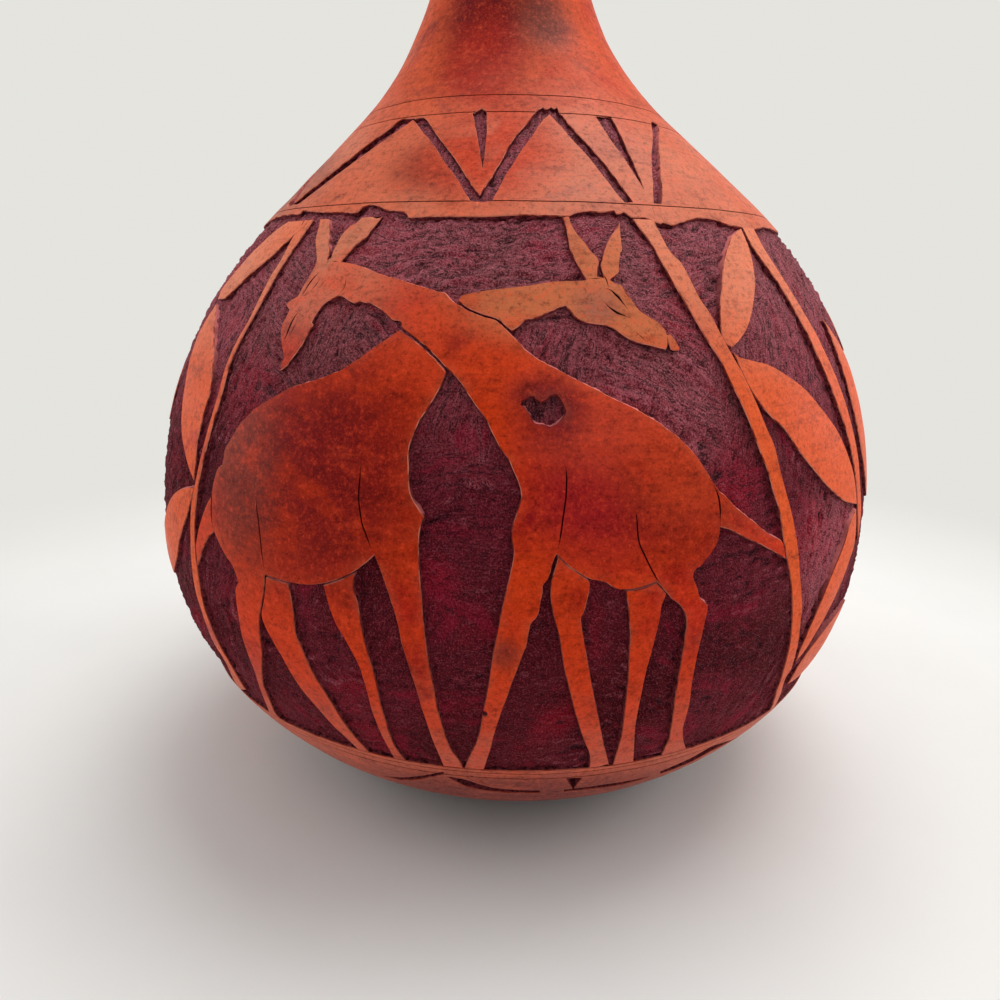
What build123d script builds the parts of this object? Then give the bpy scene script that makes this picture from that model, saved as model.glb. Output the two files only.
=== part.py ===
from build123d import *
import os
from math import asin, atan2, cos, degrees, hypot, pi, radians, sin, sqrt, tan

os.makedirs("parts", exist_ok=True)

# A dried bottle gourd, whole and closed, with its skin carved away in a belt round the
# belly so that two giraffes, their plants and the bands stand on the darker wood.
# Millimetres, +Z up, origin at the middle of the flat foot, front scene towards -Y.

# The gourd's outer shape, one outline of tangent arcs and straight runs turned about Z
belly_radius = 95.0
belly_height = 70.4
foot_radius = 34.7
foot_centre_share = 0.6845  # of the foot's radius, how far out the underside's curve is centred
shoulder_arc_radius = 104.4
shoulder_lean = 47.0  # degrees from upright at the end of the shoulder's arc
neck_arc_radius = 72.8
neck_radius = 16.0
neck_lean = 4.0  # degrees from upright, the neck's gentle taper
neck_length = 45.8  # from the end of the neck's arc to the top of the dome

# The wall
carve_depth = 1.2  # the skin that the knife leaves or takes away
rind_wall = 5.6  # skin and wood together

# The flats that the rounds are made of: sides about Z and steps up each arc
side_count = 48
hollow_side_count = 24
stem_side_count = 16
base_step_count = 5
lower_belt_step_count = 3
upper_belt_step_count = 5
shoulder_step_count = 1
neck_step_count = 4
dome_step_count = 2
hollow_step_count = 3
chord_length = 6.0  # the straight steps of the carved outlines

# The bands, as degrees along the curves that meet at the widest place
ground_line_angle = -28.87  # where the giraffes stand and the base skin begins
belt_top_angle = 43.53  # where the neck and shoulder skin begins

# The dried stem and the blossom's scar
stem_radius = 3.6
stem_flare_radius = 6.4
stem_flare_height = 4.0
stem_length = 9.0
stem_chamfer = 0.8
scar_radius = 5.5

# The loose seeds on the floor of the hollow
seed_length = 13.0
seed_width = 6.6
seed_thickness = 3.2
seed_chamfer = 0.8
seed_clearance = 0.3
seed_ring_radii = (9.5, 23.0)
seed_ring_counts = (4, 9)
seed_twist = 24.0  # degrees that each seed lies askew of its spoke
# half outline of a seed: squarish shoulders at the broad end, a narrower blunt tip
seed_outline_share = [(-0.50, 0.16), (-0.30, 0.42), (0.22, 0.50), (0.42, 0.46), (0.50, 0.24)]

outer_reach_share = 1.4  # how far a carver's cone runs past the skin, from the centre
inner_reach_share = 0.7
first_reach_share = 1.2  # of the belly's radius, before the axis: where a sight line starts
scene_turn = 180.0  # degrees from the front scene to the like scene on the back

# The eye that the carving's pixel outlines are seen from, in a square picture
picture_centre_pixel = 500.0
focal_length_pixels = 751.0
eye_distance_share = 2.267  # of the belly's radius, in front of the gourd's axis
eye_height_share = 0.898  # of the belt's height, above the ground line
belt_view_share = 1.119  # of the belly's radius, the belt's height as the eye sees it

# The gourd's outline as the eye sees it, in belly radii, from the widest place
seen_belly_share = 0.3236  # of the belt's height, up to the widest place
seen_under_share = 0.75
seen_shoulder_share = 1.099
seen_lean = 47.0  # degrees from upright where the shoulder runs straight
eye_pitch = 16.605  # degrees down
eye_roll = -0.727
eye_yaw = -0.879

# Outlines in pixels. Each is a closed chain of runs: a run is one smooth stretch from the
# last point of the run before it, and runs meet in corners.
front_giraffe_pixels = [
    [(341, 261)],
    [(370, 269.5), (410, 282.5), (444, 292.5), (452, 300.5), (472, 312), (497, 321),
     (514, 337), (533, 355.5), (560, 370.5), (600, 391), (640, 411), (675, 434),
     (697, 456), (713, 482)],
    [(748, 517), (782, 541)],
    [(784.5, 557.5)],
    [(737, 533), (721, 527)],
    [(717, 544), (706, 560), (697, 568)],
    [(694, 577), (699, 594), (707, 605)],
    [(701, 642), (691, 695), (683.5, 735), (686, 753)],
    [(662, 762)],
    [(668, 741), (675, 700), (684, 640), (686, 615)],
    [(679, 604), (666, 591), (657, 581)],
    [(645, 585.5), (626, 589), (597, 580), (575, 570), (557, 554)],
    [(547, 581), (537, 617), (521, 662), (502, 711), (488, 758), (483, 775)],
    [(462, 773)],
    [(478, 738), (489, 680), (501, 613), (514, 552)],
    [(512, 532), (521, 492), (502, 451), (468, 393.5), (437, 358), (401, 328)],
    [(400, 320)],
    [(374, 305), (355, 303), (340, 295.5)],
    [(323, 304), (313, 318), (298, 350), (280, 370)],
    [(283, 350), (280.5, 330), (289, 309)],
    [(286, 304)],
    [(297, 296), (307, 279), (317, 259)],
    [(315, 242), (318, 228), (321, 206)],
    [(327, 206)],
    [(329.5, 227), (328.5, 243), (327, 261)],
    [(331, 256)],
    [(343, 233), (358, 221), (377, 202)],
    [(391, 204)],
    [(370, 231), (354, 246), (341, 261)],
]
rear_giraffe_neck_pixels = [
    [(457, 299.5)],
    [(470, 293.5), (500, 288.5), (540, 283), (586, 279)],
    [(573, 255), (566.5, 230), (560, 209)],
    [(568, 209)],
    [(571, 225), (594, 254), (599.5, 262)],
    [(598, 277)],
    [(602.5, 256), (610, 238), (619.5, 222)],
    [(621.5, 240), (618.5, 262), (611, 279)],
    [(630, 296), (640, 310), (658, 321), (667, 333)],
    [(667, 348.5)],
    [(632, 340), (617, 330), (600, 324), (582, 320.5), (565.5, 305.5)],
    [(548, 312), (527, 320), (512, 330.5)],
    [(499, 319.5), (474, 310.5), (457, 299.5)],
]
rear_giraffe_body_pixels = [
    [(399, 331)],
    [(360, 357.5), (332, 373), (300, 384), (270, 399), (250, 413), (233, 434), (224, 450)],
    [(215, 474), (211, 495), (200, 522), (196.5, 545), (198, 566)],
    [(201, 553), (208, 538), (214, 532)],
    [(219, 544), (231, 564), (236.5, 579)],
    [(236, 600), (247, 652), (268, 708), (285, 735)],
    [(295, 738)],
    [(277, 715), (262, 685)],
    [(261, 660), (258, 632), (259.5, 613)],
    [(262.5, 595), (264, 575)],
    [(287, 581.5), (310, 584.5), (332, 580.5), (355, 570.5), (373, 556)],
    [(394, 613), (412, 678), (434, 745), (447, 775)],
    [(466, 773)],
    [(451, 750), (439, 715), (425, 643), (418.5, 570), (424, 517)],
    [(411.5, 497), (408, 468), (411, 440), (438, 391), (445, 373)],
    [(434, 358), (418, 343.5), (399, 331)],
]
far_leg_pixels = {
    "rear_giraffe_far_hind_leg": [
        [(265.5, 577.5)],
        [(286.5, 583.5)],
        [(291, 602), (295.5, 635), (325, 693), (352, 734), (384, 766)],
        [(372, 766)],
        [(341, 735), (303, 692), (275, 646), (261.5, 614)],
        [(264, 595), (265.5, 577.5)],
    ],
    "rear_giraffe_far_fore_leg": [
        [(323, 585.5)],
        [(353, 573)],
        [(353, 590), (361, 628), (372, 668), (388, 730), (412, 771)],
        [(402, 771)],
        [(382, 737), (368, 697), (340, 633), (323, 585.5)],
    ],
    "front_giraffe_far_fore_leg": [
        [(558, 558)],
        [(587.5, 580)],
        [(587, 603), (581, 619)],
        [(585, 645), (593, 690), (603, 740), (609.5, 772)],
        [(588, 774)],
        [(581, 732), (568, 683), (553.5, 615), (551.5, 580), (558, 558)],
    ],
    "front_giraffe_far_hind_leg": [
        [(627, 590.5)],
        [(645, 587.5), (658, 583)],
        [(666, 594)],
        [(655, 641), (646, 675), (637, 718), (632, 769)],
        [(611, 771)],
        [(622, 733), (628, 683), (630.5, 640), (627, 590.5)],
    ],
}
stem_pixels = {
    "right_stem": [
        [(629, 208)],
        [(665, 268), (694, 317), (722, 365), (745, 410), (764, 460), (777, 502),
         (786, 546), (791.5, 580), (792.5, 610), (790, 643), (782, 680), (768, 715)],
        [(777, 714)],
        [(789, 672), (797.5, 647), (802, 610), (801, 582), (797, 540), (790, 505),
         (780, 463), (768, 430), (754, 396), (734, 357), (698, 295), (672, 254), (647, 208)],
        [(629, 208)],
    ],
    "outer_right_stem": [
        [(738, 218)],
        [(762, 260), (786, 295), (812, 343), (834, 395), (850, 445), (857, 485), (858, 530)],
        [(861, 515), (860.5, 480), (855, 440), (843, 396), (824, 352), (797, 300),
         (775, 265), (747, 218)],
        [(738, 218)],
    ],
    "left_stem": [
        [(311, 206)],
        [(293, 236), (271, 275), (247, 322), (225, 367), (209, 424), (199, 462), (192, 497),
         (190, 530), (191.5, 565), (198, 600), (214, 643), (235, 679)],
        [(240, 679)],
        [(220, 643), (203.5, 600), (196.5, 565), (195, 530), (197, 497), (203, 462),
         (212.5, 424), (230, 367), (251, 322), (277, 275), (300, 238), (321, 206)],
        [(311, 206)],
    ],
}
leaf_pixels = {
    "right_upper_leaf": [
        [(740, 229)],
        [(730, 241), (723, 270), (720, 305), (724, 331), (734, 348)],
        [(746, 331), (753.5, 308), (754.5, 280), (750, 250), (740, 229)],
    ],
    "right_large_leaf": [
        [(738, 357)],
        [(762, 362), (788, 376), (814, 399), (838, 432), (849, 462), (855, 502)],
        [(838, 496), (814, 469), (795, 443), (778, 422), (758, 398), (738, 357)],
    ],
    "right_lower_leaf": [
        [(855.5, 512)],
        [(848, 533), (835, 568), (816, 614), (801, 654)],
        [(821, 622), (838, 590), (851, 555), (855.5, 512)],
    ],
    "left_upper_leaf": [
        [(303, 218)],
        [(283, 225), (261, 242), (240, 267), (219, 296)],
        [(240, 283.5), (263, 263), (283, 245), (303, 218)],
    ],
    "left_long_leaf": [
        [(216, 306)],
        [(203, 325), (193, 350), (185, 380), (181, 417), (184, 450), (193, 480)],
        [(197, 440), (203, 415), (210, 390), (212.5, 360), (213, 335), (216, 306)],
    ],
    "left_lower_leaf": [
        [(190, 490)],
        [(177, 491), (168, 504), (164.5, 527), (173, 566)],
        [(180, 536), (186, 512), (190, 490)],
    ],
}
# Outlines at the sides, where the view ends: degrees round from the front's middle, and
# shares of the belt's height
side_stem_shares = [
    [(88.5, 1.02)],
    [(91.5, 0.75), (94.5, 0.40), (95.5, -0.02)],
    [(97.9, -0.02)],
    [(96.9, 0.40), (93.9, 0.75), (90.9, 1.02)],
    [(88.5, 1.02)],
]
side_leaf_shares = {
    "right_outer_leaf": [
        [(56.5, 0.82)],
        [(57.0, 0.72), (58.5, 0.58), (62.5, 0.44)],
        [(67.0, 0.57), (65.0, 0.71), (56.5, 0.82)],
    ],
    "right_foot_leaf": [
        [(43.5, 0.085)],
        [(44.5, 0.15), (50.0, 0.20), (58.0, 0.215)],
        [(53.5, 0.12), (48.0, 0.085), (43.5, 0.085)],
    ],
    "side_upper_left_leaf": [
        [(88.7, 0.93)],
        [(84.5, 0.83), (79.0, 0.765), (74.0, 0.74)],
        [(75.5, 0.82), (81.5, 0.895), (88.7, 0.93)],
    ],
    "side_lower_left_leaf": [
        [(92.0, 0.60)],
        [(87.0, 0.50), (81.0, 0.43), (75.0, 0.40)],
        [(77.5, 0.48), (83.5, 0.57), (92.0, 0.60)],
    ],
    "side_upper_right_leaf": [
        [(94.4, 0.78)],
        [(98.0, 0.68), (104.0, 0.60), (109.5, 0.565)],
        [(107.5, 0.65), (102.0, 0.75), (94.4, 0.78)],
    ],
    "side_lower_right_leaf": [
        [(97.6, 0.42)],
        [(100.0, 0.33), (106.0, 0.25), (112.0, 0.22)],
        [(110.5, 0.30), (105.0, 0.39), (97.6, 0.42)],
    ],
    "side_foot_left_leaf": [
        [(93.9, 0.32)],
        [(90.0, 0.22), (86.0, 0.17), (81.0, 0.15)],
        [(82.5, 0.22), (87.5, 0.29), (93.9, 0.32)],
    ],
}
# the recessed strips and wedge nicks of the zigzag band
zigzag_pixels = [
    [(410, 118), (392, 123), (355, 147), (325, 172), (294, 204), (299, 204), (335, 170),
     (365, 146), (402, 124)],
    [(413, 118), (445, 162), (471, 201), (481, 201), (458, 163), (425, 118)],
    [(472.5, 113), (482, 168), (487, 112)],
    [(537, 109), (501, 161), (478, 201), (492, 201), (521, 150), (548, 110)],
    [(551, 110), (589, 157), (625, 202), (633.5, 202), (597, 155), (558, 110)],
    [(595, 115), (623, 156), (644, 190), (630, 156), (610, 116)],
    [(651.5, 123), (654, 203), (662, 203.5), (657.5, 124)],
]


# The outline's centres and tangent points, worked out from the driving sizes
lower_centre_radius = foot_centre_share * foot_radius
lower_reach = belly_radius - lower_centre_radius
lower_drop = belly_height / sqrt(1 - ((foot_radius - lower_centre_radius) / lower_reach) ** 2)
shoulder_centre_radius = belly_radius - shoulder_arc_radius
shoulder_end_radius = shoulder_centre_radius + shoulder_arc_radius * cos(radians(shoulder_lean))
shoulder_end_height = belly_height + shoulder_arc_radius * sin(radians(shoulder_lean))
neck_centre_radius = neck_radius + neck_arc_radius * cos(radians(neck_lean))
neck_start_radius = neck_centre_radius - neck_arc_radius * cos(radians(shoulder_lean))
neck_start_height = shoulder_end_height + (shoulder_end_radius - neck_start_radius) / tan(
    radians(shoulder_lean)
)
neck_centre_height = neck_start_height + neck_arc_radius * sin(radians(shoulder_lean))
neck_end_height = neck_centre_height - neck_arc_radius * sin(radians(neck_lean))
gourd_height = neck_end_height + neck_length
dome_radius = (neck_radius - neck_length * tan(radians(neck_lean))) / (
    cos(radians(neck_lean)) - tan(radians(neck_lean)) * (1 - sin(radians(neck_lean)))
)
dome_centre_height = gourd_height - dome_radius
ground_line_height = belly_height + lower_drop * sin(radians(ground_line_angle))
belt_top_height = belly_height + shoulder_arc_radius * sin(radians(belt_top_angle))
belt_height = belt_top_height - ground_line_height


def arc_points(centre, length, first_angle, last_angle, step_count):
    """Points spaced evenly along an arc, both its ends included."""
    turn = (last_angle - first_angle) / step_count
    angles = [radians(first_angle + turn * step) for step in range(step_count + 1)]
    return [(centre[0] + length * cos(a), centre[1] + length * sin(a)) for a in angles]


def lower_points(inset, first_angle, last_angle, step_count):
    """Points along the rounded underside, drawn in by an inset."""
    across, down = lower_reach - inset, lower_drop - inset
    round_points = arc_points((0, 0), 1, first_angle, last_angle, step_count)
    return [(lower_centre_radius + x * across, belly_height + y * down) for x, y in round_points]


def base_outline(inset, step_count):
    """From the foot's rim up to the ground line, drawn in by an inset."""
    foot_angle = -degrees(asin((belly_height - inset) / (lower_drop - inset)))
    return lower_points(inset, foot_angle, ground_line_angle, step_count)


def belt_outline(inset, lower_step_count, upper_step_count):
    """From the ground line past the widest place to the belt's top."""
    lower = lower_points(inset, ground_line_angle, 0, lower_step_count)
    upper = arc_points(
        (shoulder_centre_radius, belly_height),
        shoulder_arc_radius - inset,
        0,
        belt_top_angle,
        upper_step_count,
    )
    return lower + upper[1:]


def neck_outline(inset, shoulder_steps, neck_steps, dome_steps):
    """From the belt's top over the shoulder and up the neck to the top of the dome."""
    shoulder = arc_points(
        (shoulder_centre_radius, belly_height),
        shoulder_arc_radius - inset,
        belt_top_angle,
        shoulder_lean,
        shoulder_steps,
    )
    neck = arc_points(
        (neck_centre_radius, neck_centre_height),
        neck_arc_radius + inset,
        180 + shoulder_lean,
        180 + neck_lean,
        neck_steps,
    )
    dome = arc_points((0, dome_centre_height), dome_radius - inset, neck_lean, 90, dome_steps)
    return shoulder + neck + dome[:-1] + [(0, gourd_height - inset)]


def solid_of(polygons):
    """A closed solid from its flat faces, each a list of corners."""
    return Solid(Shell([Face(Wire.make_polygon(corners)) for corners in polygons]))


def turned(outline, sides):
    """An outline in radius and height, turned about Z in flats.

    It is closed from its last point to its first, by way of the axis if both lie there."""
    polygons = []
    for (radius, height), (next_radius, next_height) in zip(outline, outline[1:] + outline[:1]):
        if radius == 0 and next_radius == 0:
            continue
        for side in range(sides):
            angles = [2 * pi * side / sides, 2 * pi * (side + 1) / sides]
            corners = [Vector(radius * cos(a), radius * sin(a), height) for a in angles]
            corners += [
                Vector(next_radius * cos(a), next_radius * sin(a), next_height)
                for a in reversed(angles)
            ]
            if radius == 0:
                corners = corners[1:]
            if next_radius == 0:
                corners = corners[:3]
            polygons.append(corners)
    return solid_of(polygons)


def radius_at(height):
    """The skin's radius at a height above the foot."""
    if height < belly_height:
        drop_share = (belly_height - height) / lower_drop
        return lower_centre_radius + lower_reach * sqrt(max(1 - drop_share**2, 0))
    if height < shoulder_end_height:
        return shoulder_centre_radius + sqrt(
            shoulder_arc_radius**2 - (height - belly_height) ** 2
        )
    if height < neck_start_height:
        return shoulder_end_radius - (height - shoulder_end_height) * tan(radians(shoulder_lean))
    if height < neck_end_height:
        return neck_centre_radius - sqrt(
            neck_arc_radius**2 - (height - neck_centre_height) ** 2
        )
    return neck_radius - (height - neck_end_height) * tan(radians(neck_lean))


# Seeing the carving: pixels to places, as degrees round from the front's middle and shares
# of the belt's height. The eye and its sight lines are laid out in belly radii level with
# the ground and in belt heights upward.
def seen_radius_share(height_share):
    """The seen outline's radius, in belly radii, at a share of the belt's height."""
    rise = (height_share - seen_belly_share) * belt_view_share
    if rise < 0:
        return 1 - seen_under_share + sqrt(max(seen_under_share**2 - rise**2, 0))
    level = min(rise, seen_shoulder_share * sin(radians(seen_lean)))
    curved = 1 - seen_shoulder_share + sqrt(seen_shoulder_share**2 - level**2)
    return curved - (rise - level) * tan(radians(seen_lean))


def sight_line(pixel):
    """The direction from the eye through a pixel."""
    across = (pixel[0] - picture_centre_pixel) / focal_length_pixels
    upward = (picture_centre_pixel - pixel[1]) / focal_length_pixels
    roll, pitch, yaw = radians(eye_roll), radians(eye_pitch), radians(eye_yaw)
    side = across * cos(roll) + upward * sin(roll)
    rise = -across * sin(roll) + upward * cos(roll)
    ahead = cos(pitch) + rise * sin(pitch)
    height = -sin(pitch) + rise * cos(pitch)
    return Vector(
        side * cos(yaw) + ahead * sin(yaw),
        -side * sin(yaw) + ahead * cos(yaw),
        height / belt_view_share,
    )


def seen_place(pixel):
    """Where the sight line through a pixel first meets the seen outline.

    A line that only grazes past it takes its nearest place."""
    ray = sight_line(pixel)
    eye = Vector(0, -eye_distance_share, eye_height_share)

    def gap(reach):
        spot = eye + ray * reach
        return hypot(spot.X, spot.Y) - seen_radius_share(spot.Z)

    steps = 60
    starts = eye_distance_share - first_reach_share
    reaches = [starts + first_reach_share * step / steps for step in range(steps + 1)]
    gaps = [gap(reach) for reach in reaches]
    inside = [step for step in range(1, steps + 1) if gaps[step] < 0]
    if inside:
        outer, inner = reaches[inside[0] - 1], reaches[inside[0]]
        for _ in range(30):
            middle = (outer + inner) / 2
            if gap(middle) > 0:
                outer = middle
            else:
                inner = middle
    else:
        inner = reaches[gaps.index(min(gaps))]
    spot = eye + ray * inner
    return degrees(atan2(spot.X, -spot.Y)), spot.Z


def place_round(degrees_and_share):
    """Where the skin lies some degrees round and a share of the way up the belt."""
    turn = radians(degrees_and_share[0])
    height = ground_line_height + degrees_and_share[1] * belt_height
    radius = radius_at(height)
    return Vector(radius * sin(turn), -radius * cos(turn), height)


def place_on_skin(pixel):
    """Where the skin lies behind a pixel."""
    return place_round(seen_place(pixel))


belly_centre = Vector(0, 0, belly_height)


def chords(points):
    """Even straight steps along the smooth line through some points."""
    if len(points) < 3:
        return points
    line = Edge.make_spline(points)
    count = max(len(points) // 2, round(line.length / chord_length), 2)
    return [line @ (step / count) for step in range(count + 1)]


def carved_cone(runs, place_of):
    """A solid that widens from the belly's centre through a closed chain of runs.

    Its flat sides all point at the centre, so it meets the skin squarely."""
    chain = [[place_of(point) for point in run] for run in runs]
    corners = list(chain[0])
    for run in chain[1:]:
        corners += chords([corners[-1]] + run)[1:]
    if (corners[0] - corners[-1]).length < carve_depth:
        corners = corners[:-1]
    spokes = [corner - belly_centre for corner in corners]
    aim = sum(spokes, Vector(0, 0, 0)).normalized()
    farthest = max(spoke.dot(aim) for spoke in spokes) * outer_reach_share
    nearest = min(spoke.dot(aim) for spoke in spokes) * inner_reach_share
    near, far = (
        [belly_centre + spoke * (distance / spoke.dot(aim)) for spoke in spokes]
        for distance in (nearest, farthest)
    )
    sides = [[near[i - 1], near[i], far[i], far[i - 1]] for i in range(len(spokes))]
    return solid_of([near, far] + sides)


def standing_skin(outlines, place_of=place_on_skin):
    """The pieces of belt skin left standing inside some outlines."""
    return [belt_skin & carved_cone(runs, place_of) for runs in outlines]


def front_and_back(pieces):
    """A scene's pieces with their like turned to the back of the gourd."""
    turned = [Rot(0, 0, scene_turn) * piece for piece in pieces]
    return Compound(children=[solid for piece in pieces + turned for solid in piece.solids()])


def seed():
    """One flat gourd seed, its long axis along X, lying on the XY plane."""
    half = [(along * seed_length, side * seed_width) for along, side in seed_outline_share]
    mirrored = [(along, -side) for along, side in reversed(half)]
    blank = extrude(make_face(Polyline(*half, *mirrored, close=True)), seed_thickness)
    return chamfer(blank.faces().sort_by(Axis.Z)[-1].edges(), seed_chamfer)


def seeds():
    """The rings of seeds, lying on the hollow's floor."""
    pieces = []
    for ring_radius, count in zip(seed_ring_radii, seed_ring_counts):
        for step in range(count):
            spoke = Rot(0, 0, 360 * step / count) * Pos(ring_radius, 0, 0)
            lie = Pos(0, 0, rind_wall + seed_clearance) * spoke * Rot(0, 0, 90 + seed_twist)
            pieces.append(lie * seed())
    return Compound(children=[solid for piece in pieces for solid in piece.solids()])


def stem_blank():
    """The dried stem as a flared stub that runs down into the dome."""
    flare_top = gourd_height + stem_flare_height
    stem_top = gourd_height + stem_length
    outline = [
        (0, gourd_height - stem_flare_height),
        (stem_flare_radius, gourd_height - stem_flare_height),
        (stem_flare_radius, gourd_height),
        (stem_radius, flare_top),
        (stem_radius, stem_top - stem_chamfer),
        (stem_radius - stem_chamfer, stem_top),
        (0, stem_top),
    ]
    return turned(outline, stem_side_count)


step_counts = (lower_belt_step_count, upper_belt_step_count)
neck_step_counts = (shoulder_step_count, neck_step_count, dome_step_count)


def full_outline(inset, base_steps, belt_steps, neck_steps):
    """The whole outline from the axis at the foot to the top of the dome."""
    return (
        [(0, inset)]
        + base_outline(inset, base_steps)
        + belt_outline(inset, *belt_steps)[1:]
        + neck_outline(inset, *neck_steps)[1:]
    )


def layer(outline_of, *counts):
    """A layer of skin between the gourd's surface and the carved depth."""
    return turned(outline_of(0, *counts) + outline_of(carve_depth, *counts)[::-1], side_count)


wood_body = turned(
    full_outline(carve_depth, base_step_count, step_counts, neck_step_counts), side_count
)
hollow = turned(
    full_outline(
        rind_wall,
        hollow_step_count,
        (1, hollow_step_count),
        (1, hollow_step_count, 1),
    ),
    hollow_side_count,
)
woody_rind = wood_body - hollow

belt_skin = layer(belt_outline, *step_counts)

stem_shape = stem_blank()
dried_stem = stem_shape - wood_body
neck_skin = layer(neck_outline, *neck_step_counts) - stem_shape
for outline in zigzag_pixels:
    cut = carved_cone([[point] for point in outline], place_on_skin)
    for turn in (0, scene_turn):
        neck_skin = neck_skin - Rot(0, 0, turn) * cut

scar_outline = [(0, 0), (scar_radius, 0), (scar_radius, carve_depth), (0, carve_depth)]
blossom_scar = turned(scar_outline, stem_side_count)
base_ring = base_outline(0, base_step_count)
inner_base_ring = base_outline(carve_depth, base_step_count)
base_skin = turned([(0, 0)] + base_ring + inner_base_ring[::-1] + [(0, carve_depth)], side_count)
base_skin = base_skin - blossom_scar

parts = {
    "woody_rind": woody_rind,
    "neck_and_shoulder_skin": neck_skin,
    "base_skin": base_skin,
    "dried_stem": dried_stem,
    "blossom_scar": blossom_scar,
    "seeds": seeds(),
    "front_giraffe": front_and_back(standing_skin([front_giraffe_pixels])),
    "rear_giraffe_body": front_and_back(standing_skin([rear_giraffe_body_pixels])),
    "rear_giraffe_neck": front_and_back(standing_skin([rear_giraffe_neck_pixels])),
    "far_legs": front_and_back(standing_skin(far_leg_pixels.values())),
    "plant_stems": front_and_back(
        standing_skin(stem_pixels.values()) + standing_skin([side_stem_shares], place_round)
    ),
    "plant_leaves": front_and_back(
        standing_skin(leaf_pixels.values())
        + standing_skin(side_leaf_shares.values(), place_round)
    ),
}
for name, shape in parts.items():
    export_step(shape, f"parts/{name}.step")
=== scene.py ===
# %% [markdown]
# # A carved gourd
# This lesson dresses a dried bottle gourd whose waxed orange skin was carved away in a belt
# round the belly, so that two giraffes, their plants and a zigzag band stand on dark wood.
# The CAD model comes first and fixes the size and place of every piece. The rest is looks.

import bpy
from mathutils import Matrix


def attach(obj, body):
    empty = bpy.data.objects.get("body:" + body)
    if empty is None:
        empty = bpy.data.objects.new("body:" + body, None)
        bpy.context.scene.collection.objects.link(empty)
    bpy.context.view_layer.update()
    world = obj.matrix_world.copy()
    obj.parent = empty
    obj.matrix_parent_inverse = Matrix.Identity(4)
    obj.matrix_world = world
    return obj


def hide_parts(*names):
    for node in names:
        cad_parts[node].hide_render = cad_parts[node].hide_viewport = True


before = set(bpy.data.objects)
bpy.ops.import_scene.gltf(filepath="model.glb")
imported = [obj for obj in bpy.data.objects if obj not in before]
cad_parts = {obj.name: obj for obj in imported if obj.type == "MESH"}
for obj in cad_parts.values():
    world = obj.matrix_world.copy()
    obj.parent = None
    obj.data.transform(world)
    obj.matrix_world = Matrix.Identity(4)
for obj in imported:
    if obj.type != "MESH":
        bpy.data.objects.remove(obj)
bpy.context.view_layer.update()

# %% Tools and units
import math

import bmesh
import bpy
import numpy as np
from mathutils import Matrix, Vector, noise
from mathutils.geometry import delaunay_2d_cdt

MM = 0.001  # the gourd is measured in millimetres, Blender in metres
rng = np.random.default_rng(7)
body = "gourd"

# %% [markdown]
# ## The gourd's outline
# A gourd is nearly round about its own axis, so one outline describes it: a rounded
# underside, a shoulder, a hollow curve into the neck and a small dome. The outline is a
# chain of tangent arcs. Two tables, radius against height and length along the skin
# against height, are read from it, so that every carved piece can find its place.

# %% Outline of the gourd
BELLY = 95.0
BELLY_HEIGHT = 70.4
FOOT = 34.7
UNDER_CENTRE = 23.753
UNDER_ARC = 71.247
SHOULDER_ARC = 104.4
NECK_ARC = 72.8
NECK = 16.0
NECK_LENGTH = 45.8
SHOULDER_LEAN, NECK_LEAN = math.radians(47), math.radians(4)
CARVE = 1.2  # how deep the skin is cut away


def arc(centre, radius, first, last, count):
    turn = np.linspace(first, last, count)
    return np.stack([centre[0] + radius * np.cos(turn), centre[1] + radius * np.sin(turn)], 1)


neck_centre = NECK + NECK_ARC * math.cos(NECK_LEAN)
neck_start = neck_centre - NECK_ARC * math.cos(SHOULDER_LEAN)
shoulder_end = (BELLY - SHOULDER_ARC * (1 - math.cos(SHOULDER_LEAN)),
                BELLY_HEIGHT + SHOULDER_ARC * math.sin(SHOULDER_LEAN))
neck_start_height = shoulder_end[1] + (shoulder_end[0] - neck_start) / math.tan(SHOULDER_LEAN)
neck_centre_height = neck_start_height + NECK_ARC * math.sin(SHOULDER_LEAN)
neck_end_height = neck_centre_height - NECK_ARC * math.sin(NECK_LEAN)
top_height = neck_end_height + NECK_LENGTH
dome = (NECK - NECK_LENGTH * math.tan(NECK_LEAN)) / (
    math.cos(NECK_LEAN) - math.tan(NECK_LEAN) * (1 - math.sin(NECK_LEAN)))
outline = np.concatenate([
    [[0, 0], [FOOT / 2, 0]],
    arc((UNDER_CENTRE, BELLY_HEIGHT), UNDER_ARC, -math.asin(BELLY_HEIGHT / UNDER_ARC), 0, 90),
    arc((BELLY - SHOULDER_ARC, BELLY_HEIGHT), SHOULDER_ARC, 0, SHOULDER_LEAN, 70)[1:],
    arc((neck_centre, neck_centre_height), NECK_ARC, math.pi + SHOULDER_LEAN,
        math.pi + NECK_LEAN, 50),
    arc((0, top_height - dome), dome, NECK_LEAN, math.pi / 2, 24),
])
along = np.concatenate([[0], np.cumsum(np.hypot(*np.diff(outline, axis=0).T))])
print("outline points:", len(outline), "top of the dome in mm:", round(top_height, 1))

# %% [markdown]
# No gourd grows quite straight. In the picture the belly sits a little to the right and the
# neck a little to the left, so the axis wanders by up to 2 mm with height. Each place on the
# skin is named by its chart: u, the millimetres round the belly from the front's middle, and
# v, the millimetres along the skin from the middle of the foot. `on_skin` turns a chart place and a
# depth under the skin into a point.

# %% Places on the skin
def radius_at(height):
    return np.interp(height, outline[2:, 1], outline[2:, 0])


def height_at(v):
    return np.interp(v, along, outline[:, 1])


def length_at(height):
    return np.interp(height, outline[2:, 1], along[2:])


def drift_at(height):
    return np.interp(height, [-3, 54, 111, 149, 187, 244, 262],
                     [1.5, -0.15, 0.54, 1.1, -2.15, -2.1, -1.6])


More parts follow.
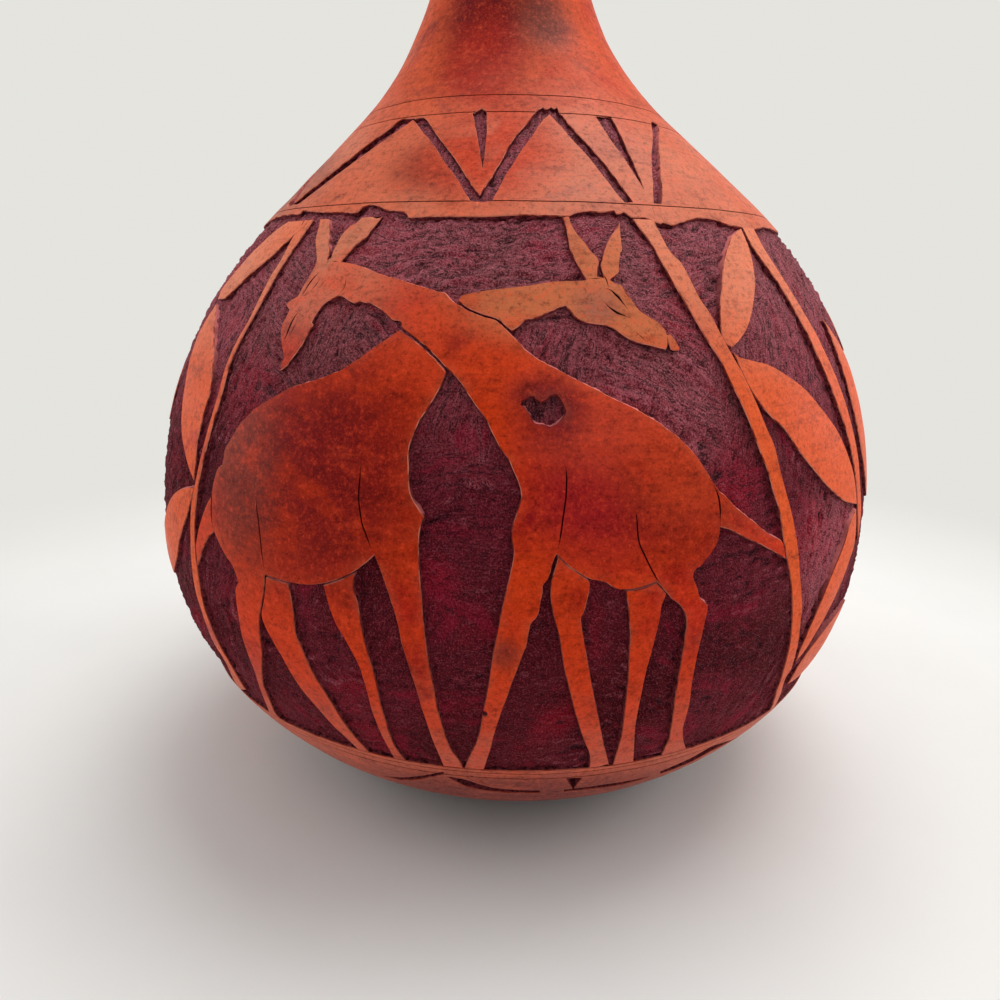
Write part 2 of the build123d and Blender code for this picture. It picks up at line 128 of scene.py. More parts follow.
def on_skin(uv, depth=0.0):
    """Chart places (n, 2) and depths under the skin to points (n, 3) in millimetres."""
    uv = np.atleast_2d(uv)
    turn = uv[:, 0] / BELLY
    radius = np.interp(uv[:, 1], along, outline[:, 0])
    height = np.interp(uv[:, 1], along, outline[:, 1])
    step = 0.5
    rise = np.interp(uv[:, 1] + step, along, outline[:, 1]) - np.interp(
        uv[:, 1] - step, along, outline[:, 1])
    spread = np.interp(uv[:, 1] + step, along, outline[:, 0]) - np.interp(
        uv[:, 1] - step, along, outline[:, 0])
    size = np.hypot(rise, spread)
    outward, upward = rise / size, -spread / size
    inner = np.maximum(radius - depth * outward, 0)
    height = height - depth * upward
    return np.stack([inner * np.sin(turn) + drift_at(height), -inner * np.cos(turn), height], 1)


print("front of the belly at", on_skin([[0, length_at(BELLY_HEIGHT)]]).round(1))

# %% [markdown]
# ## The camera
# The picture was taken close by, from a little above the belly. The lens, distance and tilt
# below make the gourd's outline fall where it does in the picture. The frame is square.

# %% Camera
EYE = np.array([0.0, -2.267 * BELLY, 1.3836 * BELLY])
PITCH, ROLL, YAW = math.radians(16.605), math.radians(-0.727), math.radians(-0.879)
FOCAL = 751.0  # in pixels of a picture 1000 wide


def sight_lines(pixels):
    """Unit lines from the eye through pixels (n, 2)."""
    pixels = np.atleast_2d(np.array(pixels, float))
    across, upward = (pixels[:, 0] - 500) / FOCAL, (500 - pixels[:, 1]) / FOCAL
    side = across * math.cos(ROLL) + upward * math.sin(ROLL)
    rise = -across * math.sin(ROLL) + upward * math.cos(ROLL)
    ahead = math.cos(PITCH) + rise * math.sin(PITCH)
    height = -math.sin(PITCH) + rise * math.cos(PITCH)
    lines = np.stack([side * math.cos(YAW) + ahead * math.sin(YAW),
                      -side * math.sin(YAW) + ahead * math.cos(YAW), height], 1)
    return lines / np.linalg.norm(lines, axis=1)[:, None]


middle, right, up = sight_lines([[500, 500], [501, 500], [500, 499]])
right = right / right.dot(middle) - middle
up = up / up.dot(middle) - middle
camera_data = bpy.data.cameras.new("camera")
camera = bpy.data.objects.new("camera", camera_data)
bpy.context.collection.objects.link(camera)
camera_data.sensor_width = 36
camera_data.lens = FOCAL * 36 / 1000
camera_data.clip_start, camera_data.clip_end = 0.01, 20
axes = [right / np.linalg.norm(right), up / np.linalg.norm(up), -middle]
camera.matrix_world = Matrix.Translation(Vector(EYE * MM)) @ Matrix(
    [list(column) for column in zip(*axes)]).to_4x4()
bpy.context.scene.camera = camera
print("camera stands", round(-EYE[1] - BELLY, 1), "mm in front of the belly")

# %% [markdown]
# The carver's lines were read from the picture as pixels. `chart_of` follows the line of
# sight through each pixel to where it meets the skin, and gives the chart place there. A
# line that only grazes past the side takes the nearest place on the outline.

# %% From the picture to the chart
def chart_of(pixels):
    lines = sight_lines(pixels)
    reach = np.linspace(0.9 * BELLY, 2.6 * BELLY, 260)
    points = EYE + lines[:, None, :] * reach[None, :, None]

    def gap(points):
        height = points[..., 2]
        return np.hypot(points[..., 0] - drift_at(height), points[..., 1]) - radius_at(height)

    gaps = gap(points)
    hit = (gaps < 0).any(axis=1)
    first = np.where(hit, np.argmax(gaps < 0, axis=1), np.argmin(gaps, axis=1))
    near, far = reach[np.maximum(first - 1, 0)], reach[first]
    for _ in range(30):
        mid = (near + far) / 2
        outside = gap(EYE + lines * mid[:, None]) > 0
        near, far = np.where(outside, mid, near), np.where(outside, far, mid)
    spots = EYE + lines * np.where(hit, far, reach[first])[:, None]
    turn = np.arctan2(spots[:, 0] - drift_at(spots[:, 2]), -spots[:, 1])
    return np.stack([turn * BELLY, length_at(spots[:, 2])], 1)


print("chart of the middle pixel:", chart_of([[500, 500]]).round(1))

# %% [markdown]
# ## Smooth lines from given points
# The given points are 7 to 15 pixels apart. Between sharp corners the knife ran smoothly, so
# each stretch becomes a Catmull-Rom curve, sampled closely. The knife cut cleanly in some
# places and tore the skin in others, so a slow noise sets how unsteady the line is. Corners,
# where the line turns hard, stay sharp.

# %% Smooth lines
def stretches(points, closed, corner=48):
    """Splits a chain of chart points at its hard turns."""
    points = [p for i, p in enumerate(points) if i == 0 or np.hypot(*(p - points[i - 1])) > 0.05]
    if closed and np.hypot(*(points[0] - points[-1])) < 0.05:
        points = points[:-1]
    count = len(points)

    def turn(i):
        a, b, c = points[i - 1], points[i], points[(i + 1) % count]
        first, second = b - a, c - b
        cosine = first.dot(second) / (np.linalg.norm(first) * np.linalg.norm(second))
        return math.degrees(math.acos(max(-1, min(1, cosine))))

    if closed:
        corners = [i for i in range(count) if turn(i) > corner] or [0]
        points = points[corners[0]:] + points[:corners[0]]
        corners = [i - corners[0] for i in corners] + [count]
        points = points + [points[0]]
    else:
        corners = [0] + [i for i in range(1, count - 1) if turn(i) > corner] + [count - 1]
    return [np.array(points[a:b + 1]) for a, b in zip(corners, corners[1:])]


def smooth(points, spacing):
    """Close samples of a Catmull-Rom curve through the points of one stretch."""
    if len(points) > 2:
        before, after = 2 * points[0] - points[1], 2 * points[-1] - points[-2]
        p = np.vstack([before, points, after])
        t = np.linspace(0, 1, 9)[:-1, None]
        fine = [0.5 * (2 * b + (c - a) * t + (2 * a - 5 * b + 4 * c - d) * t**2
                       + (3 * b - a - 3 * c + d) * t**3)
                for a, b, c, d in zip(p, p[1:], p[2:], p[3:])]
        points = np.vstack(fine + [points[-1:]])
    reach = np.concatenate([[0], np.cumsum(np.hypot(*np.diff(points, axis=0).T))])
    count = max(1, round(reach[-1] / spacing))
    at = np.linspace(0, reach[-1], count + 1)
    return np.stack([np.interp(at, reach, points[:, 0]), np.interp(at, reach, points[:, 1])], 1)


def hand_line(points, closed=True, spacing=0.7, shake=0.05):
    """A knife's line through given chart points, with a hand's small shake."""
    pieces = []
    for piece in stretches(list(points), closed):
        fine = smooth(piece, spacing)
        for i in range(1, len(fine) - 1):
            spot = Vector((*fine[i], 3))
            torn = shake * (0.5 + 5 * max(0, noise.noise(spot * 0.07)))
            fine[i] += torn * np.array([noise.noise(spot), noise.noise(spot + Vector((40, 9, 2)))])
        pieces.append(fine if not closed and piece is not None and not pieces else fine[1:])
    line = np.vstack(pieces)
    return line


print("a square's smooth line has", len(hand_line(np.array([[0, 0], [5, 0], [5, 5], [0, 5.0]]))), "points")

# %% [markdown]
# ## Pieces of skin that lie on the gourd
# Each giraffe, leaf, stem or band is a patch of skin 1.2 mm thick. It is laid out flat in the
# chart, where its outline, its scored knife lines and a net of inner points are joined into
# small triangles by a constrained triangulation: a bmesh fill can't keep a groove's three
# lines inside a face. Bmesh then does the rest. The outline's edges are extruded down in
# three steps, a pale chamfer, a ragged dark wall and a root sunk in the wood, and the
# underside is a duplicate of the top, turned over and merged to the root.

# %% Lay a patch of skin
def nearest(points, segments):
    """Distance from points (n, 2) to the closest of the segments (m, 2, 2)."""
    best = np.full(len(points), 1e9)
    for a, b in segments:
        span = b - a
        share = np.clip(((points - a) @ span) / max(span.dot(span), 1e-12), 0, 1)
        best = np.minimum(best, np.hypot(*(points - a - share[:, None] * span).T))
    return best


def segments_of(line, closed):
    ends = np.roll(line, -1, axis=0) if closed else line[1:]
    starts = line if closed else line[:-1]
    return list(zip(starts, ends))


def net(low, high, spacing):
    """Rows of inner points in a triangular net, a little unsettled."""
    rows = []
    for row, v in enumerate(np.arange(low[1], high[1], spacing * 0.87)):
        u = np.arange(low[0] + (row % 2) * spacing / 2, high[0], spacing)
        rows.append(np.stack([u, np.full(len(u), v)], 1))
    points = np.vstack(rows)
    return points + rng.uniform(-0.08, 0.08, points.shape) * spacing


def taper_of(line):
    """How fully a knife line is cut at each of its points: it thins over its last 3 mm."""
    reach = np.concatenate([[0], np.cumsum(np.hypot(*np.diff(line, axis=0).T))])
    return np.clip(np.minimum(reach, reach[-1] - reach) / 3, 0.12, 1)


def groove_sides(line, width):
    """Left and right lips of a scored line that tapers to both ends."""
    ahead = np.gradient(line, axis=0)
    ahead /= np.linalg.norm(ahead, axis=1)[:, None]
    across = np.stack([-ahead[:, 1], ahead[:, 0]], 1)
    half = taper_of(line)[:, None] * width / 2
    return line + across * half, line - across * half


def inside(points, loop):
    """Which chart points lie inside a closed loop."""
    x, y = points[:, 0], points[:, 1]
    result = np.zeros(len(points), bool)
    for (x1, y1), (x2, y2) in zip(loop, np.roll(loop, -1, axis=0)):
        crosses = (y1 > y) != (y2 > y)
        if abs(y2 - y1) > 1e-12:
            result ^= crosses & (x < (x2 - x1) * (y - y1) / (y2 - y1) + x1)
    return result


def counter_clockwise(loop):
    after = np.roll(loop, -1, axis=0)
    area = (loop[:, 0] * after[:, 1] - after[:, 0] * loop[:, 1]).sum()
    return loop if area > 0 else loop[::-1]


def flat_patch(outline_loops, holes, grooves, spacing):
    """Triangles of a flat patch, its points, and how deep each lies in a groove."""
    points, edges, faces = [], [], []

    def add(line):
        start = len(points)
        points.extend(Vector(p) for p in line)
        return list(range(start, start + len(line)))

    for loop in outline_loops + holes:
        faces.append(add(counter_clockwise(loop)))
    for line, width, depth in grooves:
        left, right = groove_sides(line, width)
        for side in (left, line, right):
            ids = add(side)
            edges.extend(zip(ids, ids[1:]))
    whole = np.vstack(outline_loops)
    inner = net(whole.min(0), whole.max(0), spacing)
    keep = np.zeros(len(inner), bool)
    for loop in outline_loops:
        keep |= inside(inner, loop)
    inner = inner[keep]
    rims = [s for loop in outline_loops + holes for s in segments_of(loop, True)]
    inner = inner[nearest(inner, rims) > spacing * 0.45]
    for line, width, depth in grooves:
        inner = inner[nearest(inner, segments_of(line, False)) > width * 0.5 + spacing * 0.25]
    add(inner)
    result = delaunay_2d_cdt(points, edges, faces, 1, 1e-4, True)
    flat = np.array([tuple(p) for p in result[0]])
    outside = set(range(len(outline_loops), len(outline_loops) + len(holes)))
    triangles = [face for face, source in zip(result[2], result[5])
                 if source and not outside & set(source)]
    sunk = np.zeros(len(flat))
    for line, width, depth in grooves:
        gap = nearest(flat, segments_of(line, False))
        closest = np.argmin(np.hypot(flat[:, None, 0] - line[None, :, 0],
                                     flat[:, None, 1] - line[None, :, 1]), axis=1)
        taper = taper_of(line)[closest]
        sunk = np.maximum(sunk, depth * taper * np.clip(1 - gap / (width * taper / 2), 0, 1))
    return flat, triangles, sunk, rims


print("the patch tools are ready")

# %% [markdown]
# Grown skin is never quite even, and the light on its wax shows it. `skin_wave` is a shallow
# swell, less than a fifth of a millimetre, that all the skin shares, so bands and figures
# still look cut from one fruit.

# %% The swell of the skin
def skin_wave(points):
    """How far the skin swells at chart places, in millimetres."""
    turn = points[:, 0] / BELLY
    radius = 0.7 * np.interp(points[:, 1], along, outline[:, 0])
    around = np.stack([radius * np.sin(turn), radius * np.cos(turn), points[:, 1]], 1)
    return np.array([0.14 * noise.noise(Vector(p * 0.055)) + 0.05 * noise.noise(Vector(p * 0.21))
                     for p in around])


def lay_mesh(bm, turns=(0,)):
    """Lays a flat bmesh (u, v, height over the skin) on the gourd, once for each turn."""
    flat = np.array([v.co[:] for v in bm.verts])
    swell = skin_wave(flat)
    copies = [on_skin(flat[:, :2] + (math.radians(turn) * BELLY, 0), -flat[:, 2] - swell)
              for turn in turns]
    everything = bm.verts[:] + bm.edges[:] + bm.faces[:]
    first = bm.verts[:]
    for copy in copies[1:]:
        twin = bmesh.ops.duplicate(bm, geom=everything)["vert_map"]
        for vert, spot in zip(first, copy):
            twin[vert].co = Vector(spot * MM)
    for vert, spot in zip(first, copies[0]):
        vert.co = Vector(spot * MM)


print("swell of the skin in mm:", skin_wave(np.array([[0, 60.0], [40, 90], [90, 120]])).round(2))

# %% Turn a flat patch into a piece with walls
SKIN, CHAMFER, WALL = 0, 1, 2
ROOT = CARVE + 0.9  # walls are sunk a little way into the wood


def add_walls(bm, keep_open=lambda vert: False, inset=0.12, slope=0.4):
    """Gives a flat patch its chamfer, ragged wall, root and underside."""
    upward = bm.verts.layers.float.get("rim")
    rim = [e for e in bm.edges if e.is_boundary and not all(keep_open(v) for v in e.verts)]
    outward = {}
    for edge in rim:
        middle = (edge.verts[0].co + edge.verts[1].co) / 2
        across = Vector((edge.verts[1].co.y - edge.verts[0].co.y,
                         edge.verts[0].co.x - edge.verts[1].co.x, 0)).normalized()
        if across.dot(middle - edge.link_faces[0].calc_center_median()) < 0:
            across = -across
        for vert in edge.verts:
            outward[vert] = outward.get(vert, Vector()) + across
    at_seam = {vert for vert in outward if keep_open(vert)}
    for vert, way in outward.items():
        if vert in at_seam:  # a corner on the seam moves along it
            way.x = 0
        way.normalize()
        vert.co -= way * inset
    tops = bm.faces[:]
    made = bmesh.ops.duplicate(bm, geom=bm.verts[:] + bm.edges[:] + tops)
    under = [f for f in made["geom"] if isinstance(f, bmesh.types.BMFace)]
    bmesh.ops.reverse_faces(bm, faces=under)
    for vert in {v for f in under for v in f.verts}:
        vert.co.z = -ROOT
    for face in under:
        face.material_index = WALL
    for edge in rim:
        edge.smooth = False
    ring = {vert: vert for vert in outward}
    edges = rim
    start = {vert: vert.co.copy() for vert in outward}
    for step, (reach, ragged, depth) in enumerate(
            [(0.13, 0.05, 0.18), (0.26, 0.30, CARVE), (0.0, 0.0, ROOT)]):
        grown = bmesh.ops.extrude_edge_only(bm, edges=edges)["geom"]
        fresh = [v for v in grown if isinstance(v, bmesh.types.BMVert)]
        walls = [f for f in grown if isinstance(f, bmesh.types.BMFace)]
        source = {}
        for vert in fresh:
            for edge in vert.link_edges:
                other = edge.other_vert(vert)
                if other in ring:
                    source[vert] = ring[other]
        for vert, old in source.items():
            spot = start[old]
            shake = noise.noise(Vector((spot.x * 0.8, spot.y * 0.8, 5 + step)))
            shake += 0.6 * noise.noise(Vector((spot.x * 2.3, spot.y * 2.3, 9 + step)))
            if old in at_seam:
                shake = 0
            up = max(0.0, outward[old].y)  # a wall that faces up slopes out, and is painted paler as if lit from above
            vert[upward] = up
            vert.co = spot + outward[old] * (reach + ragged * shake + (slope * up if step == 1 else 0))
            vert.co.z = -depth if step else start[old].z - depth
        for face in walls:
            face.material_index = CHAMFER if step == 0 else WALL
        ring = source
        edges = [e for e in grown if isinstance(e, bmesh.types.BMEdge)
                 and all(v in source for v in e.verts)]
        if step == 0:
            for edge in edges:
                edge.smooth = False
    bmesh.ops.remove_doubles(bm, verts=bm.verts[:], dist=1e-5)


def patch_mesh(outline_loops, holes=(), grooves=(), spacing=1.7):
    """A flat bmesh of one patch with its grooves sunk, and two marks on its points."""
    flat, triangles, sunk, rims = flat_patch(list(outline_loops), list(holes), list(grooves),
                                             spacing)
    bm = bmesh.new()
    groove_mark = bm.verts.layers.float.new("groove")
    rim_mark = bm.verts.layers.float.new("rim")
    verts = [bm.verts.new((u, v, -deep)) for (u, v), deep in zip(flat, sunk)]
    near_rim = nearest(flat, rims)
    for vert, deep, gap in zip(verts, sunk, near_rim):
        vert[groove_mark] = min(1.0, deep / 0.3)
        vert[rim_mark] = math.exp(-gap / 0.9)
    for triangle in triangles:
        face = bm.faces.new([verts[i] for i in triangle])
        if face.normal.z < 0:
            face.normal_flip()
    bmesh.ops.delete(bm, geom=[v for v in bm.verts if not v.link_faces], context="VERTS")
    bm.normal_update()
    flipped = [f for f in bm.faces if f.normal.z < 0]
    bmesh.ops.reverse_faces(bm, faces=flipped)
    for edge in bm.edges:  # the lips of a groove stay sharp, and so does its bottom
        dips = {any(v[groove_mark] > 0.05 for v in face.verts) for face in edge.link_faces}
        edge.smooth = len(dips) == 1 and not all(v[groove_mark] > 0.05 for v in edge.verts)
    return bm


def join(target, other):
    """Adds another bmesh's points and faces to a bmesh."""
    mesh = bpy.data.meshes.new("carried")
    other.to_mesh(mesh)
    target.from_mesh(mesh)
    bpy.data.meshes.remove(mesh)
    other.free()


def piece_from(bm, name, nodes=()):
    """A finished object from a bmesh, riding on the gourd in place of its CAD nodes."""
    for face in bm.faces:
        face.smooth = True
    bm.normal_update()
    mesh = bpy.data.meshes.new(name)
    bm.to_mesh(mesh)
    bm.free()
    piece = bpy.data.objects.new(name, mesh)
    bpy.context.collection.objects.link(piece)
    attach(piece, body)
    if nodes:
        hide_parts(*nodes)
    mesh.calc_loop_triangles()
    print(name, "has", len(mesh.loop_triangles), "triangles")
    return piece

# %% [markdown]
# ## The nearer giraffe
# It crosses the picture from its head at the upper left to its hoofs at the lower right. Its
# outline is one closed knife cut. Cheek, eyes, mouth, thigh, foreleg and tail root are scored
# lines in its skin, and a small gouge on the chest goes right through to the wood.

# %% Limits of the belt
BELT_LOW, BELT_HIGH = 36.0, 142.3
V_LOW, V_HIGH = length_at(BELT_LOW) + 0.12, length_at(BELT_HIGH) - 0.12


def in_belt(line):
    """Trims a closed line to the belt; only the first points past a limit are kept, on it."""
    past = (line[:, 1] < V_LOW) | (line[:, 1] > V_HIGH)
    line = line[~(past & np.roll(past, 1) & np.roll(past, -1))]
    return np.stack([line[:, 0], np.clip(line[:, 1], V_LOW, V_HIGH)], 1)


def cut(pixels, **how):
    """A closed knife outline in the chart, kept inside the belt."""
    return in_belt(hand_line(chart_of(pixels), True, **how))


def score(pixels, width=0.34, depth=0.34):
    """A scored line in the chart, with its width and depth."""
    line = hand_line(chart_of(pixels), False, spacing=0.6, shake=0.04)
    return line, width, depth


def shares(places):
    """Chart places from degrees round and shares of the belt's height."""
    places = np.array(places, float)
    heights = BELT_LOW + places[:, 1] * (BELT_HIGH - BELT_LOW)
    return np.stack([np.radians(places[:, 0]) * BELLY, length_at(heights)], 1)


print("belt along the skin in mm:", round(float(V_HIGH - V_LOW), 1))

# %% Nearer giraffe
nearer_outline = cut([
    (341, 261.5), (347, 262), (360, 265.5), (370, 269.5), (380, 273.5), (390, 276.5), (400, 279),
    (410, 282.5), (420, 285.5), (430, 288.5), (437, 291), (444, 292), (447, 294.5), (452, 300.5),
    (461, 306), (466, 309.5), (472, 312), (478, 314.5), (485, 317), (492, 318.5), (497, 321),
    (505, 328), (509, 332), (514, 337), (520, 343), (526, 350), (533, 355.5), (540, 360),
    (550, 365.5), (560, 370.5), (570, 376), (590, 386), (600, 391), (610, 396.5), (630, 406),
    (640, 411), (650, 417), (660, 423), (667, 428.5), (675, 434), (683, 441), (690, 448),
    (697, 456), (703, 465), (709, 474), (713, 481), (720, 491), (726, 496), (731, 501.5),
    (737, 508), (744, 513.5), (756, 523), (765, 531), (774, 537), (783, 542), (786, 558.5),
    (780, 555), (771, 550), (760, 544), (748, 539), (737, 533), (728, 529), (720.5, 527),
    (719.5, 535), (717, 544), (712, 552), (706, 560), (700, 567), (697, 568), (693.5, 574),
    (694, 580), (697, 587), (699, 594), (701, 599), (707, 604), (708, 609), (706, 618),
    (703.5, 630), (701, 642), (698, 655), (693, 680), (691, 695), (689, 707), (686, 718),
    (683.5, 728), (683.5, 738), (685, 745), (688, 757), (659, 762), (665, 748), (669, 740),
    (671, 728), (675, 700), (677, 688), (681, 665), (683, 652), (685, 640), (686.5, 617),
    (679, 604), (673, 600), (668, 594), (657, 581.5), (645, 586), (636, 588.5), (626, 589.5),
    (617, 589), (606, 582.5), (597, 580.5), (589, 578.5), (575, 570.5), (565, 562.5),
    (556.5, 554), (553, 563), (550, 574), (547, 581), (543, 586), (543, 592), (541, 600),
    (540, 608), (537, 617), (531, 624), (529, 632), (526.5, 646), (523, 655), (516, 673),
    (511, 686), (507, 698), (502, 711), (498, 723), (494, 736), (491, 748), (488, 758),
    (482, 775), (462, 775), (468, 760), (473, 750), (478, 738), (481, 725), (483, 713),
    (486, 698), (489, 680), (493.5, 652), (496, 640), (501, 613), (507, 588), (510, 575),
    (514, 554), (512, 540), (512, 532), (513.5, 523), (520.5, 502), (521, 492), (518, 481),
    (513, 470), (509, 460), (502, 451), (496, 440), (490, 428), (486, 419), (474, 403),
    (463, 386), (455, 376), (445, 366), (437, 357.5), (428, 348), (420, 341.5), (412, 335.5),
    (402, 327.5), (402, 324), (399, 320.5), (393, 320), (389, 317), (384, 312), (379, 308),
    (374, 305), (369, 302.5), (365, 302.5), (360, 301), (355, 303), (350, 301), (340, 295.5),
    (333, 298.5), (327, 301), (323, 304), (319, 309), (313, 318), (311, 322), (313, 324.5),
    (308, 332), (305, 338), (301, 345), (295, 354), (290, 360), (287, 365), (280, 370),
    (281, 361), (283.5, 359), (282, 350), (280.5, 338), (280.5, 330), (282, 323), (285, 318),
    (289, 309), (285.5, 304.5), (290, 300), (297, 296), (300, 291), (303, 285), (307, 279),
    (311, 272), (316, 262), (315.5, 250), (315, 242), (316, 235), (318, 228), (319.5, 220),
    (321, 206), (327, 206), (328.5, 220), (329.8, 227), (328.5, 233), (329, 237.5), (328, 243),
    (329.5, 248), (329, 253), (327, 260.5), (331, 257), (333, 251), (337, 243), (343, 233),
    (350, 226), (358, 221), (366, 213), (376, 202), (389, 207), (384, 213.5), (380, 219),
    (375, 225), (370, 231), (366, 237), (360, 241), (354, 246), (350, 251), (345, 256),
])
chest_gouge = hand_line(chart_of([
    (521, 405), (522, 401), (528, 400), (534, 397), (537, 400), (541, 404), (545, 400),
    (550, 397), (556, 395), (560, 399), (563, 405), (566, 411), (563, 417), (557, 423),
    (550, 426.5), (543, 425), (536, 422), (530, 417), (527, 410)]), True, shake=0.25)
hoof_pit = hand_line(chart_of([(482, 713), (483.5, 711.5), (486, 712), (487.5, 714.5),
                               (486, 716.5), (483.5, 716)]), True, spacing=0.3)
nearer_scores = [
    score([(635, 508), (637, 520), (638, 535), (640, 545), (645, 556), (655, 576), (663, 587)]),
    score([(565, 462), (566.5, 475), (566.5, 490), (565, 505), (563.5, 515), (561.5, 530),
           (559.5, 542), (557.5, 550)]),
    score([(713, 482), (716, 489), (718.5, 496), (720, 503), (720.5, 512), (720, 526)], 0.45),
    score([(346.5, 275), (345, 285), (342, 291), (338, 296)]),
    score([(321, 270), (312, 279), (304, 291), (300, 299)], 0.55),
    score([(322, 274), (316, 284), (308, 293.5)], 0.4),
    score([(294, 298.5), (291.5, 303), (289.5, 307)], 0.35),
    score([(300, 310), (294, 317), (289, 327), (286, 335), (282, 344)], 0.6),
    score([(299, 317), (295, 324), (291, 332), (287, 340)], 0.35),
    score([(329, 261), (334, 261), (340, 262.5)], 0.35, 0.25),
]


def carve_figure(name, loops, scores, nodes, holes=(), spacing=1.7, turns=(0, 180)):
    """Figures cut from the belt's skin, laid on the front and the back of the gourd."""
    whole = bmesh.new()
    for index, loop in enumerate(loops):
        bm = patch_mesh([loop], holes if index == 0 else (), scores[index], spacing)
        add_walls(bm)
        join(whole, bm)
    lay_mesh(whole, turns)
    return piece_from(whole, name, nodes)


nearer_giraffe = carve_figure("nearer_giraffe", [nearer_outline], [nearer_scores],
                              ["front_giraffe"],
                              holes=[chest_gouge, hoof_pit])

# %% [markdown]
# ## The farther giraffe
# It faces the other way behind the nearer one, so its skin is in two parts: the neck with
# the head at the upper right, and the body with its near legs at the left. The four far legs
# of both giraffes are patches of their own under the bellies.

# %% Farther giraffe's neck and head
far_neck_outline = cut([
    (458, 300.5), (462, 295), (470, 293), (480, 291), (490, 289.5), (500, 288.5), (520, 286),
    (530, 285), (550, 281.5), (560, 280.5), (580, 280), (587, 279), (581, 270), (577, 263),
    (573, 255), (570, 248), (567, 232), (565.5, 226), (560, 209), (567, 209), (571, 223),
    (576, 232), (581, 238), (586, 244), (590, 250), (597, 257), (599, 261), (598, 268),
    (597, 276), (604, 277.5), (602.5, 270), (601, 267), (602, 260), (602.5, 256), (605, 250),
    (607, 244), (610, 238), (613, 233), (616, 229), (620, 222), (621, 238), (622.5, 249),
    (620.5, 253), (619, 266), (619.5, 271), (614, 277), (610, 279.5), (617, 283.5), (621, 284),
    (626, 291), (630, 296), (633, 301), (640, 310), (650, 316.5), (656, 320), (662, 325),
    (667, 333), (668, 345), (666, 349), (660, 347.5), (652, 345.5), (638, 342), (627, 337),
    (617, 330), (606, 325), (594, 323), (582, 320.5), (577, 318), (570, 309.5), (566, 305),
    (561, 306.5), (555, 309), (548, 312), (541, 315.5), (531, 319), (527, 318.5), (520, 325),
    (512, 330), (505, 325), (499, 319.5), (492, 316.5), (479, 312.5), (473, 310), (466, 306.5),
])
far_neck_scores = [
    score([(588, 278.5), (596, 278), (604, 278)], 0.4, 0.3),
    score([(602, 271), (605, 277), (608, 283), (609, 289)], 0.6),
    score([(605, 288), (611, 290), (617, 295), (622, 301), (628, 309)], 0.65),
    score([(604, 301), (610, 307), (617, 312), (624, 315), (630, 317.5)], 0.6),
    score([(636, 332), (641, 336), (646, 341)], 0.45),
    score([(622, 286), (627, 294), (632, 301)], 0.3, 0.25),
]
chin_shred = cut([(666, 335), (671, 334), (675.5, 340), (679, 346), (679.5, 350), (675, 350.5),
                  (671, 349), (669, 343)])
farther_neck = carve_figure("farther_giraffe_neck", [far_neck_outline, chin_shred],
                            [far_neck_scores, []], ["rear_giraffe_neck"],
                            spacing=1.3)

# %% Farther giraffe's body
far_body_outline = cut([
    (399, 330), (390, 336.5), (380, 343), (370, 350), (360, 357.5), (350, 363.5), (340, 370),
    (332, 373), (322, 377.5), (312, 380.5), (300, 384), (290, 387.5), (280, 393), (270, 399),
    (258, 406), (250, 413), (240, 423.5), (233, 434), (229, 441), (224.5, 449), (224, 454),
    (222, 465), (217.5, 468), (213.5, 482), (211.5, 495), (207, 503), (200, 522), (197, 535),
    (195.5, 548), (197.5, 566), (201, 553), (204, 545), (208, 537), (213.5, 531), (219, 544),
    (223, 552), (227, 559), (231, 564), (236, 576), (237.5, 583), (235, 588), (235, 595),
    (238, 615), (242, 637), (247, 652), (253, 668), (257, 680), (264, 699), (268, 708),
    (272, 716), (283, 733), (292, 735), (283, 722), (277, 715), (272, 706), (268, 696),
    (263, 684), (261.5, 670), (262, 655), (261, 645), (259, 632), (259.5, 613), (262, 598),
    (263.5, 585), (264, 575), (275, 578.5), (287, 582), (306, 585), (322, 583.5), (332, 581),
    (342, 577.5), (353, 572), (366, 562.5), (374, 555), (378, 565), (382, 576), (386, 588),
    (390, 600), (394, 613), (398, 628), (401, 643), (408, 665), (417, 693), (425, 719),
    (429, 731), (434, 745), (439, 756), (448, 776), (466, 776), (460, 762), (451, 750),
    (446, 738), (439, 715), (434, 690), (428, 660), (424, 630), (421.5, 600), (419, 570),
    (418.5, 540), (421, 524), (424, 517), (417, 507), (411.5, 497), (409, 487), (408, 462),
    (408.5, 450), (411, 440), (415, 430), (420, 419), (427, 409), (434, 398), (438, 391),
    (442, 383), (446, 371.5), (436, 360.5), (427, 351.5), (419, 344.5), (411, 338),
])
far_body_scores = [
    score([(256, 495), (257, 510), (258.5, 520), (260, 535), (261.5, 550), (263, 562),
           (264, 571)]),
    score([(361, 463), (359.5, 480), (358.5, 497), (360, 512), (362, 524), (366, 535),
           (370, 546), (373, 552)]),
    score([(213.5, 483), (211.5, 495), (211, 512), (212, 524), (213.5, 530)], 0.45),
]
farther_body = carve_figure("farther_giraffe_body", [far_body_outline], [far_body_scores],
                            ["rear_giraffe_body"])

